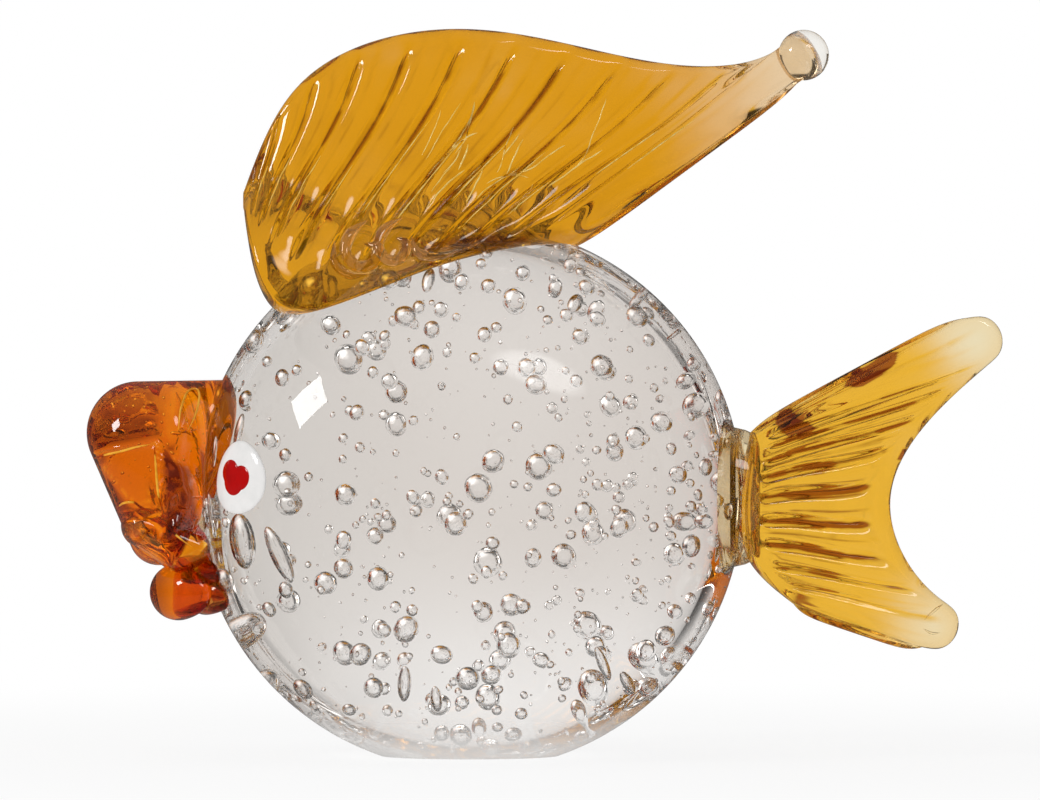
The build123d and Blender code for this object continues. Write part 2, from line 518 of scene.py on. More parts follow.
@dataclass(frozen=True)
class StrikingGlass(Finish):
    """Coloured glass: clear where it is drawn thin, full in the middle and dark where it is thick, with
    painted shade and painted highlights that the mesh's numbers add.
    """

    pale: Colour
    full: Colour
    dark: Colour
    streak_scale: float = 45.0
    streak_share: float = 0.45
    # Painted groove shade: how strongly the rib lines darken the glass, and below, the least share of it that
    # the breaks keep.
    painted_line_share: float = 0.55
    break_scale: float = 130.0
    break_band: Band = (0.42, 0.58)
    painted_line_floor: float = 0.35
    full_depth: float = 0.5

    def dress(self, graph: Graph, shader: Node) -> None:
        """Colour by the depth and the rib lines that the mesh stores, with faint streaks: the lines are
        painted shade along the grooves, with a faint painted highlight beside them.

        Args:
            graph: The material's nodes.
            shader: The material's shader.
        """
        streak = (graph.noise(self.streak_scale, 2.0) - 0.5) * self.streak_share
        broken = graph.noise(self.break_scale, 1.0).ease(*self.break_band)
        broken = self.painted_line_floor + (1 - self.painted_line_floor) * broken
        # The line number is painted shade along the grooves, with a little painted highlight on one side; the
        # depth number also holds the painted shade and highlights that a piece adds.
        depth = graph.attribute("depth") + graph.attribute("line") * broken * self.painted_line_share + streak
        light = graph.blend(depth.ease(0.0, self.full_depth), self.pale, self.full)
        colour = graph.blend(depth.ease(self.full_depth, 1.0), light, self.dark)
        graph.feed(shader.inputs["Base Color"], colour)
        shader.inputs["Roughness"].default_value = 0.0
        shader.inputs["IOR"].default_value = GLASS_IOR
        shader.inputs["Transmission Weight"].default_value = 1.0


@dataclass(frozen=True)
class Enamel(Finish):
    """Opaque coloured glass, fire-polished, with a faint mottle."""

    light: Colour
    shade: Colour
    mottle_scale: float = 420.0
    mottle_band: Band = (0.35, 0.75)
    roughness: float = 0.12

    def dress(self, graph: Graph, shader: Node) -> None:
        """Opaque and glossy, with a slight mottle.

        Args:
            graph: The material's nodes.
            shader: The material's shader.
        """
        mottle = graph.noise(self.mottle_scale, 2.0).ease(*self.mottle_band)
        graph.feed(shader.inputs["Base Color"], graph.blend(mottle, self.light, self.shade))
        shader.inputs["Roughness"].default_value = self.roughness
        shader.inputs["IOR"].default_value = GLASS_IOR


BODY_GLASS = FootedGlass("body_glass", pale=(0.74, 0.695, 0.655), dense=(0.66, 0.605, 0.56), index=BODY_IOR)
# The bubble walls' material, which paints a dark rim, painted shade, and a glowing painted highlight where
# blow stores them.
BUBBLE_WALL = BubbleWall("bubble_wall", pale=WHITE, dense=(0.97, 0.97, 0.97), index=BUBBLE_IOR)
TIP_GLASS = ClearGlass("clear_tip", pale=(0.97, 0.96, 0.93), dense=(0.92, 0.9, 0.85))
GROUND_GLASS = ClearGlass("ground_base", pale=(0.75, 0.72, 0.69), dense=(0.7, 0.67, 0.64), roughness=0.6)
FIN_GLASS = StrikingGlass(
    "fin_amber", pale=(0.86, 0.75, 0.56), full=(0.72, 0.32, 0.008), dark=(0.16, 0.03, 0.001)
)
TAIL_GLASS = StrikingGlass(
    "tail_amber", pale=(0.86, 0.75, 0.5), full=(0.84, 0.46, 0.035), dark=(0.15, 0.02, 0.001), painted_line_share=1.4
)
LIP_GLASS = StrikingGlass(
    "lip_amber", pale=(0.98, 0.32, 0.004), full=(0.68, 0.12, 0.001), dark=(0.12, 0.009, 0.001)
)
TONGUE_GLASS = StrikingGlass(
    "tongue_gold", pale=(1.0, 0.8, 0.35), full=(0.74, 0.23, 0.004), dark=(0.5, 0.12, 0.001)
)
# Painted highlights: opaque pale enamel threads laid on the fin and along the lip's folds, standing in for
# bright glints.
PAINTED_HIGHLIGHT_THREAD_ENAMEL = Enamel("painted_highlight_thread", light=(1.0, 0.74, 0.24), shade=(0.9, 0.5, 0.05))
PAINTED_HIGHLIGHT_EDGE_ENAMEL = Enamel("painted_highlight_edge", light=(1.0, 0.5, 0.05), shade=(0.8, 0.3, 0.01))
EYE_ENAMEL = Enamel("eye_white", light=(0.9, 0.885, 0.87), shade=(0.85, 0.84, 0.825))
PUPIL_ENAMEL = Enamel("pupil_red", light=(0.48, 0.001, 0.001), shade=(0.4, 0.001, 0.001))


class SmoothLine:
    """A natural cubic line through a few points of the middle plane, read by its length."""

    SAMPLES = 3000

    def __init__(self, points: Sequence[Point]) -> None:
        """Solve the line.

        Args:
            points: The (x, z) points that it goes through.
        """
        knots = np.asarray(points, dtype=float)
        steps = np.linalg.norm(np.diff(knots, axis=0), axis=1)
        marks = np.concatenate(([0.0], np.cumsum(steps)))
        count = len(knots)
        system = np.zeros((count, count))
        target = np.zeros(knots.shape)
        system[0, 0] = 1.0
        system[-1, -1] = 1.0
        for index in range(1, count - 1):
            before, after = steps[index - 1], steps[index]
            system[index, index - 1 : index + 2] = before, 2 * (before + after), after
            rise = (knots[index + 1] - knots[index]) / after
            target[index] = 6 * (rise - (knots[index] - knots[index - 1]) / before)
        bend = np.linalg.solve(system, target)
        fine = np.linspace(0.0, marks[-1], self.SAMPLES)
        span = np.clip(np.searchsorted(marks, fine, side="right") - 1, 0, count - 2)
        width = steps[span][:, None]
        left = ((marks[span + 1] - fine) / steps[span])[:, None]
        right = 1 - left
        curve = (left**3 - left) * bend[span] + (right**3 - right) * bend[span + 1]
        self.points = left * knots[span] + right * knots[span + 1] + curve * width**2 / 6
        run = np.linalg.norm(np.diff(self.points, axis=0), axis=1)
        self.shares = np.concatenate(([0.0], np.cumsum(run)))
        self.shares /= self.shares[-1]

    def at(self, shares: np.ndarray) -> np.ndarray:
        """The (x, z) points at shares of the line's length."""
        columns = [np.interp(shares, self.shares, self.points[:, axis]) for axis in (0, 1)]
        return np.stack(columns, axis=-1)


def polar(angle: float, reach: float) -> np.ndarray:
    """A step in the middle plane, at an angle in degrees up from the tail."""
    return np.array((math.cos(math.radians(angle)), math.sin(math.radians(angle)))) * reach


def unit_circle(count: int) -> np.ndarray:
    """Points of a circle of radius 1, an even step apart."""
    turn = np.linspace(0.0, 2 * np.pi, count, endpoint=False)
    return np.stack((np.cos(turn), np.sin(turn)), axis=-1)


def ring_at(flat: np.ndarray, y: float) -> np.ndarray:
    """Stand a ring of (x, z) points at one place across the fish."""
    return np.stack((flat[:, 0], np.full(len(flat), y), flat[:, 1]), axis=-1)


def ease(low: float, high: float, given: np.ndarray) -> np.ndarray:
    """Ease each number from 0 at low to 1 at high."""
    share = np.clip((given - low) / (high - low), 0.0, 1.0)
    return share * share * (3 - 2 * share)


def skin(rings: np.ndarray) -> Skin:
    """Join closed rings into one closed tube, with a point at the middle of each end.

    Args:
        rings: Points of shape (ring, place, 3).

    Returns:
        The points and the faces.
    """
    ring_count, place_count, _ = rings.shape
    points = np.concatenate((rings.reshape(-1, 3), rings[:1].mean(axis=1), rings[-1:].mean(axis=1)))
    first_end = ring_count * place_count
    last_ring = first_end - place_count
    faces: list[tuple[int, ...]] = []
    for place in range(place_count):
        after = (place + 1) % place_count
        for ring in range(ring_count - 1):
            low = ring * place_count
            high = low + place_count
            faces.append((low + place, low + after, high + after, high + place))
        faces.append((after, place, first_end))
        faces.append((last_ring + place, last_ring + after, first_end + 1))
    return points, faces


class Shell:
    """Closed skins gathered into one mesh, each with its own material and numbers at its points."""

    LAYERS = ("depth", "line", "fan", "along", "swell")

    def __init__(self) -> None:
        """Start with nothing."""
        self.mesh = bmesh.new()
        self.layers = {name: self.mesh.verts.layers.float.new(name) for name in self.LAYERS}

    def add(
        self,
        points: np.ndarray,
        faces: Sequence[tuple[int, ...]],
        numbers: Optional[dict[str, Union[np.ndarray, float]]] = None,
        material: int = 0,
        hollow: bool = False,
    ) -> None:
        """Add one closed skin.

        Args:
            points: The skin's points.
            faces: The skin's faces.
            numbers: Numbers to store, one for each point or one for all, by name.
            material: The place of the skin's material.
            hollow: True for a void in the glass, whose faces look inwards.
        """
        verts = [self.mesh.verts.new(point) for point in points]
        for name, given in (numbers or {}).items():
            layer = self.layers[name]
            for vert, number in zip(verts, np.broadcast_to(np.asarray(given, dtype=float), (len(points),))):
                vert[layer] = number
        made = [self.mesh.faces.new([verts[index] for index in face]) for face in faces]
        bmesh.ops.recalc_face_normals(self.mesh, faces=made)
        for face in made:
            face.smooth = True
            face.material_index = material
        if hollow:
            bmesh.ops.reverse_faces(self.mesh, faces=made)

    def take(self, other: Mesh, material: int) -> None:
        """Add a mesh as it is.

        Args:
            other: The mesh.
            material: The place of its material here.
        """
        known = len(self.mesh.faces)
        self.mesh.from_mesh(other)
        self.mesh.faces.ensure_lookup_table()
        for face in self.mesh.faces[known:]:
            face.material_index = material

    def data(self, name: str) -> Mesh:
        """Turn the shell into a mesh.

        Args:
            name: The mesh's name.

        Returns:
            The mesh.
        """
        data = bpy.data.meshes.new(name)
        self.mesh.to_mesh(data)
        self.mesh.free()
        return data

    def piece(self, name: str, materials: Sequence[Material]) -> Object:
        """Turn the shell into a piece of the fish.

        Args:
            name: The piece's name.
            materials: The piece's materials, in their places.

        Returns:
            The piece, at the origin.
        """
        data = self.data(name)
        for material in materials:
            data.materials.append(material)
        return put(name, data)


def seat(piece: Object, node: str, slot: Slot) -> None:
    """Let a piece stand for a node of the model and ride with it.

    Args:
        piece: The piece.
        node: The node's name.
        slot: Not used.
    """
    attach(piece, ROOT_BODY)
    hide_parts(node)
    LOG.info("%s: %d faces", piece.name, len(piece.data.polygons))


@dataclass
class Pebble:
    """The round form of the body, which every other piece seats on."""

    radius: float = 59.5 * MM
    half_depth: float = 43.0 * MM
    base_grind: float = 3.2 * MM

    @property
    def centre_z(self) -> float:
        """The height of the middle of the body."""
        return self.radius - self.base_grind

    @property
    def top(self) -> float:
        """The height of the top of the back."""
        return self.centre_z + self.radius

    @property
    def half_sizes(self) -> np.ndarray:
        """Half of the length, depth and height."""
        return np.array((self.radius, self.half_depth, self.radius))

    def surface(self, x: np.ndarray, z: np.ndarray) -> np.ndarray:
        """Half of the body's depth at a place in the side view."""
        reach = (np.square(x) + np.square(z - self.centre_z)) / self.radius**2
        return self.half_depth * np.sqrt(np.clip(1 - reach, 0.0, 1.0))


@dataclass(frozen=True)
class BubbleSize:
    """One size of bubble: how many, how large, how often small and how finely divided."""

    name: str
    count: int
    radii: Band
    bias: float
    subdivisions: int


@dataclass
class Bubble:
    """One trapped bubble: where it is, its half sizes and the way that its length points."""

    place: Vector
    half_size: Vector
    aim: Vector


def blow(name: str, bubbles: Sequence[Bubble], subdivisions: int, wall: Material) -> Mesh:
    """Put a ball on each bubble's spot with Geometry Nodes.

    Args:
        name: The name of these bubbles.
        bubbles: The bubbles.
        subdivisions: How finely each ball is divided.
        wall: The material of the walls.

    Returns:
        The bubbles as one plain mesh, whose faces look inwards, which stores a painted dark rim, painted
        shade, as depth and a painted highlight as line.
    """
    spots = bpy.data.meshes.new(name)
    spots.from_pydata([bubble.place for bubble in bubbles], [], [])
    for label in ("half_size", "aim"):
        layer = spots.attributes.new(label, "FLOAT_VECTOR", "POINT")
        layer.data.foreach_set("vector", [part for bubble in bubbles for part in getattr(bubble, label)])
    tree = GeometryTree(name, {"Subdivisions": "NodeSocketInt", "Glass": "NodeSocketMaterial"})
    ball = tree.add("GeometryNodeMeshIcoSphere", {}, {"Subdivisions": tree.given["Subdivisions"]})
    hollow = tree.add("GeometryNodeFlipFaces", {}, {"Mesh": ball})
    smooth = tree.add("GeometryNodeSetShadeSmooth", {}, {"Geometry": hollow})
    aim, half_size = (tree.stored(label, "FLOAT_VECTOR") for label in ("aim", "half_size"))
    turn = tree.add("FunctionNodeAlignRotationToVector", {"axis": "Z"}, {"Vector": aim})
    sockets = {"Points": tree.given["Mesh"], "Instance": smooth, "Rotation": turn, "Scale": half_size}
    spread = tree.add("GeometryNodeInstanceOnPoints", {}, sockets)
    real = tree.add("GeometryNodeRealizeInstances", {}, {"Geometry": spread})
    # Painted light: a dark rim, painted shade, where a wall turns side-on to the camera, and a glowing
    # painted highlight where it faces one way.
    facing = tree.add("GeometryNodeInputNormal", {}, {}).outputs["Normal"]
    outline = 1 - tree.split(facing)[1].apply("ABSOLUTE").ease(*PAINTED_RIM_SHADE_BAND)
    spark = (tree.along(facing, PAINTED_GLINT_WAY) * -1.0).ease(*PAINTED_GLINT_BAND)
    painted_rim_shaded = tree.store(real, "depth", outline)
    tree.close(tree.store(painted_rim_shaded, "line", spark))
    return tree.run(spots, {"Subdivisions": subdivisions, "Glass": wall})


@dataclass(frozen=True)
class SpeckCloud:
    """Seeds of air scattered through a box in the glass, in millimetres."""

    name: str
    seed: int
    count: int
    low: Point3
    high: Point3
    radii: Band

    def mesh(self, near: np.ndarray, wall: Material) -> Mesh:
        """Scatter the specks, and keep those that lie in the glass.

        Args:
            near: The points of the glass's near face, in millimetres.
            wall: The material of the walls.

        Returns:
            The specks as one plain mesh.
        """
        chance = random.Random(self.seed)
        made = []
        for _ in range(self.count):
            x, y, z = (chance.uniform(*ends) for ends in zip(self.low, self.high))
            radius = chance.uniform(*self.radii)
            face = near[np.hypot(near[:, 0] - x, near[:, 2] - z) < FACE_REACH]
            if len(face) and y > face[:, 1].max() + FACE_REACH:
                half_size = Vector((radius, radius, radius)) * MM
                made.append(Bubble(Vector((x, y, z)) * MM, half_size, Vector((0.0, 0.0, 1.0))))
        return blow(self.name, made, SPECK_FINENESS, wall)


@dataclass
class Thread:
    """A thread drawn along a path: a trail of hot glass, a hair of air inside it, and on the fin and lips a
    painted highlight of opaque enamel laid on a face.
    """

    points: Sequence[Point3]
    radius: float


def near_points(points: np.ndarray) -> np.ndarray:
    """The points of the side that the camera sees, in millimetres."""
    return points[points[:, 1] < 0] / MM


def lay(path: Sequence[Point], near: np.ndarray, radius: float, stand: float = 0.08) -> Thread:
    """Lay a thread on a face, as far as the face goes.

    Args:
        path: The thread's (x, z) places, in millimetres.
        near: The face's points, in millimetres.
        radius: The thread's radius, in millimetres.
        stand: How far its middle stands off the face.

    Returns:
        The thread.
    """
    points = []
    for x, z in path:
        off = np.hypot(near[:, 0] - x, near[:, 2] - z)
        nearest = int(np.argmin(off))
        if off[nearest] > FACE_REACH:
            break
        points.append((x, near[nearest, 1] - stand, z))
    return Thread(points, radius)


def draw_threads(name: str, threads: Sequence[Thread], hollow: bool, glass: Material) -> Mesh:
    """Draw threads along their paths with Geometry Nodes, thin at both ends.

    Args:
        name: The name of these threads.
        threads: The threads, in millimetres. Those with too few points are left out.
        hollow: True for air, whose faces look inwards.
        glass: The material of their walls.

    Returns:
        The threads as one plain mesh.
    """
    points: list[Vector] = []
    edges: list[tuple[int, int]] = []
    thickness: list[float] = []
    for thread in threads:
        first = len(points)
        count = len(thread.points)
        if count < THREAD_POINTS:
            continue
        points.extend(Vector(point) * MM for point in thread.points)
        edges.extend((first + step, first + step + 1) for step in range(count - 1))
        ends = {0: THREAD_END, count - 1: THREAD_END}
        thickness.extend(thread.radius * MM * ends.get(step, 1.0) for step in range(count))
    paths = bpy.data.meshes.new(name)
    paths.from_pydata(points, edges, [])
    paths.attributes.new("thick", "FLOAT", "POINT").data.foreach_set("value", thickness)
    kinds = {"Step": "NodeSocketFloat", "Sides": "NodeSocketInt", "Glass": "NodeSocketMaterial"}
    tree = GeometryTree(name, kinds)
    curve = tree.add("GeometryNodeMeshToCurve", {}, {"Mesh": tree.given["Mesh"]})
    bent = tree.add("GeometryNodeCurveSplineType", {"spline_type": "CATMULL_ROM"}, {"Curve": curve})
    sockets = {"Curve": bent, "Length": tree.given["Step"]}
    even = tree.add("GeometryNodeResampleCurve", {"mode": "LENGTH"}, sockets)
    sockets = {"Resolution": tree.given["Sides"], "Radius": 1.0}
    round_one = tree.add("GeometryNodeCurvePrimitiveCircle", {}, sockets)
    sockets = {"Curve": even, "Profile Curve": round_one, "Scale": tree.stored("thick"), "Fill Caps": True}
    tube = tree.add("GeometryNodeCurveToMesh", {}, sockets)
    facing = tree.add("GeometryNodeFlipFaces", {}, {"Mesh": tube, "Selection": hollow})
    tree.close(tree.add("GeometryNodeSetShadeSmooth", {}, {"Geometry": facing}))
    return tree.run(paths, {"Step": THREAD_STEP, "Sides": THREAD_SIDES, "Glass": glass})


@dataclass
class BubbleField:
    """The bubbles of the body: seeded, kept apart and crowded towards the tail."""

    pebble: Pebble
    seed: int = 41
    sizes: tuple[BubbleSize, ...] = (
        BubbleSize("large_bubbles", 190, (1.15 * MM, 2.6 * MM), 1.5, 3),
        BubbleSize("small_bubbles", 260, (0.5 * MM, 1.2 * MM), 1.2, 2),
        BubbleSize("specks", 560, (0.14 * MM, 0.4 * MM), 1.0, 1),
    )
    shell_shares: Band = (0.45, 0.94)
    gap: float = 0.4 * MM
    tail_crowding: float = 0.55
    skin_power: float = 0.5
    stretch: float = 0.2
    upright: float = 2.0
    # x, z, depth under the skin, radius and half length in millimetres, and lean in degrees
    drawn: tuple[tuple[float, ...], ...] = (
        (-40.2, 44.9, 3.2, 2.1, 6.6, -25.0),
        (-38.8, 37.4, 3.0, 1.75, 1.9, 0.0),
        (-47.7, 47.6, 5.8, 3.4, 6.0, -8.0),
        (-51.2, 39.0, 8.6, 2.8, 3.3, 60.0),
        (-52.8, 77.4, 11.5, 1.8, 2.6, -30.0),
        (-47.4, 77.6, 4.0, 1.9, 2.0, 0.0),
        (-49.0, 71.0, 2.6, 1.2, 3.8, 12.0),
        (-54.5, 66.5, 2.4, 0.9, 3.4, 4.0),
        (-55.5, 54.0, 2.4, 0.8, 3.6, -6.0),
        (-13.6, 17.6, 4.0, 1.5, 4.6, 3.0),
        (-6.9, 14.4, 4.0, 1.3, 3.4, -6.0),
        (28.3, 21.8, 4.0, 1.2, 5.0, -22.0),
        (33.6, 17.4, 4.0, 1.3, 4.4, -30.0),
        (-8.6, 103.0, 3.0, 1.4, 3.4, 12.0),
        (22.5, 98.0, 3.4, 1.6, 2.8, 30.0),
    )

    def _spot(self, chance: random.Random) -> Vector:
        """Pick a spot in the glass.

        Args:
            chance: The seeded source of chance.

        Returns:
            A spot on a shell inside the body, more often near the tail.
        """
        while True:
            way = Vector((chance.gauss(0, 1), chance.gauss(0, 1), chance.gauss(0, 1))).normalized()
            if chance.random() < 1 - self.tail_crowding * (1 - way.x) / 2:
                break
        low, high = self.shell_shares
        share = low + (high - low) * chance.random() ** self.skin_power
        half = self.pebble.half_sizes
        spot = Vector((way.x * half[0], way.y * half[1], way.z * half[2])) * share
        return spot + Vector((0.0, 0.0, self.pebble.centre_z))

    def _inside(self, spot: Vector, reach: float) -> Vector:
        """Draw a bubble's spot in, where the bubble would break the skin.

        Args:
            spot: The spot.
            reach: The bubble's largest half size.

        Returns:
            The spot, or one nearer the middle.
        """
        middle = Vector((0.0, 0.0, self.pebble.centre_z))
        away = spot - middle
        share = math.hypot(*(part / half for part, half in zip(away, self.pebble.half_sizes)))
        limit = 1 - (reach + self.gap) / self.pebble.half_depth
        return middle + away * min(1.0, limit / share)

    def _scatter(self, chance: random.Random, size: BubbleSize, kept: Sequence[Bubble]) -> list[Bubble]:
        """Scatter bubbles of one size that keep clear of each other.

        Args:
            chance: The seeded source of chance.
            size: The size of bubble.
            kept: Bubbles that are already there.

        Returns:
            The new bubbles.
        """
        low, high = size.radii
        made: list[Bubble] = []
        while len(made) < size.count:
            radius = low + (high - low) * chance.random() ** size.bias
            spot = self._spot(chance)
            half_size = Vector((radius, radius, radius * (1 + self.stretch * chance.random())))
            spot = self._inside(spot, max(half_size))
            aim = Vector((chance.gauss(0, 1), chance.gauss(0, 1), chance.gauss(0, self.upright)))
            clear = spot.z > 2 * radius + self.gap and all(
                (spot - other.place).length > max(half_size) + max(other.half_size) + self.gap
                for other in (*kept, *made)
            )
            if clear:
                made.append(Bubble(spot, half_size, aim))
        return made

    def _long_ones(self) -> list[Bubble]:
        """The long bubbles, drawn out under the skin of the side that the camera sees.

        Returns:
            The long bubbles.
        """
        bubbles = []
        for x, z, depth, radius, half_length, lean in np.array(self.drawn) * (MM, MM, MM, MM, MM, 1.0):
            skin_y = self.pebble.surface(x, z)
            sin_lean, cos_lean = math.sin(math.radians(lean)), math.cos(math.radians(lean))
            fall = (self.pebble.half_depth / self.pebble.radius) ** 2 / skin_y
            slope = fall * (x * sin_lean + (z - self.pebble.centre_z) * cos_lean)
            place = Vector((x, depth - skin_y, z))
            half_size = Vector((radius, radius, half_length))
            bubbles.append(Bubble(place, half_size, Vector((sin_lean, slope, cos_lean))))
        return bubbles

    def meshes(self, wall: Material) -> list[Mesh]:
        """Blow the bubbles.

        Args:
            wall: The material of their walls.

        Returns:
            A mesh for each size of bubble.
        """
        chance = random.Random(self.seed)
        kept = self._long_ones()
        made = []
        for size in self.sizes:
            fresh = self._scatter(chance, size, kept)
            group = fresh if made else kept + fresh
            kept = kept + fresh
            made.append(blow(size.name, group, size.subdivisions, wall))
        return made


@dataclass
class Body:
    """The clear body: the pebble with its ground base and its bubbles."""

    WALL_PLACE = 1
    GROUND_PLACE = 2

    pebble: Pebble
    around: int = 192
    rings: int = 96

    def build(self) -> None:
        """Make the body."""
        ball = bmesh.new()
        bmesh.ops.create_uvsphere(ball, u_segments=self.around, v_segments=self.rings, radius=1.0)
        half = self.pebble.half_sizes
        for vert in ball.verts:
            x, y, z = vert.co
            vert.co = (x * half[0], z * half[1], -y * half[2] + self.pebble.centre_z)
        everything = [*ball.verts, *ball.edges, *ball.faces]
        cut = bmesh.ops.bisect_plane(
            ball, geom=everything, plane_co=(0, 0, 0), plane_no=(0, 0, -1), clear_outer=True
        )
        rim = [part for part in cut["geom_cut"] if isinstance(part, bmesh.types.BMEdge)]
        for face in ball.faces:
            face.smooth = True
        for face in bmesh.ops.edgeloop_fill(ball, edges=rim)["faces"]:
            face.smooth = False
            face.material_index = self.GROUND_PLACE
        for edge in rim:
            edge.smooth = False
        bmesh.ops.recalc_face_normals(ball, faces=ball.faces)
        hull = bpy.data.meshes.new("hull")
        ball.to_mesh(hull)
        ball.free()
        shell = Shell()
        shell.mesh.from_mesh(hull)
        materials = [BODY_GLASS.material(), BUBBLE_WALL.material(), GROUND_GLASS.material()]
        for bubbles in BubbleField(self.pebble).meshes(materials[self.WALL_PLACE]):
            shell.take(bubbles, self.WALL_PLACE)
        seat(shell.piece("body_glass", materials), "body", Slot.CLEAR)


@dataclass
class RibPress:
    """The optic mould's ribs, pressed into both faces of a fin with Geometry Nodes, with a painted line of
    shade along each groove.
    """

    ribs: int
    groove: float
    width: float
    pad: float
    start: float
    stop: float
    sway: float
    fade: float
    # The painted groove shade: how far it leans to one side, where the other side turns to a faint painted
    # highlight, how wide it is, and the finer painted lines of shade between the ribs.
    lean: float = 1.3
    painted_line_share: float = 0.6
    painted_fine_line_rate: float = 2.3
    painted_fine_line_width: float = 0.1
    painted_fine_line_share: float = 0.4
    phase: float = 2 / 3
    rise: Band = (-0.05, 0.06)
    fall: float = 0.14
    rib_slices: int = 22

    @property
    def slices(self) -> int:
        """How many slices a leaf needs for its ribs."""
        return self.rib_slices * self.ribs

    def press(self, leaf: Mesh, glass: Material) -> Mesh:
        """Press the ribs into a leaf.

        Args:
            leaf: The smooth leaf, which stores its fan, along and swell.
            glass: The leaf's material.

        Returns:
            The ribbed leaf, which stores the painted line of shade beside each groove, with a faint painted
            highlight on its other side.
        """
        sizes = ("Ribs", "Groove", "Width", "Pad", "Start", "Stop", "Sway", "Fade")
        kinds = {label: "NodeSocketFloat" for label in sizes}
        tree = GeometryTree("rib_press", {**kinds, "Glass": "NodeSocketMaterial"})
        ribs, groove, width, pad, start, stop, sway, fade = (tree.number(label) for label in sizes)
        fan, along, swell = (Value(tree, tree.stored(label)) for label in ("fan", "along", "swell"))
        turns = fan * ribs + (along * (2 * math.pi)).apply("SINE") * sway
        off = (turns - (self.phase - 0.5)).apply("FRACT") - 0.5
        valley = off.bell(width)
        crown = 4.0 * off.apply("ABSOLUTE") * (1 - off.apply("ABSOLUTE"))
        risen = along.ease(start + self.rise[0], start + self.rise[1])
        reach = risen * (1 - along.ease(stop - self.fall, stop))
        reach = reach * (1 - along * fade) * swell * swell
        place = tree.add("GeometryNodeInputPosition", {}, {}).outputs["Position"]
        sink = (pad * crown - groove * valley) * reach * tree.split(place)[1].apply("SIGN")
        step = tree.add("ShaderNodeCombineXYZ", {}, {"Y": sink})
        sockets = {"Geometry": tree.given["Mesh"], "Offset": step}
        moved = tree.add("GeometryNodeSetPosition", {}, sockets)
        # Painted shade along each groove, leaning so that one side darkens and the other turns a little
        # lighter as a painted highlight, and finer painted lines of shade between the ribs.
        mark = off.bell(width * self.painted_line_share)
        between = (turns * self.painted_fine_line_rate).apply("FRACT") - 0.5
        fine = between.bell(self.painted_fine_line_width) * self.painted_fine_line_share
        line = (mark * (1 + off / width * self.lean) + fine) * reach
        lined = tree.store(moved, "line", line)
        tree.close(tree.add("GeometryNodeSetShadeSmooth", {}, {"Geometry": lined}))
        settings = {label: float(getattr(self, label.lower())) for label in sizes}
        return tree.run(leaf, {**settings, "Glass": glass})


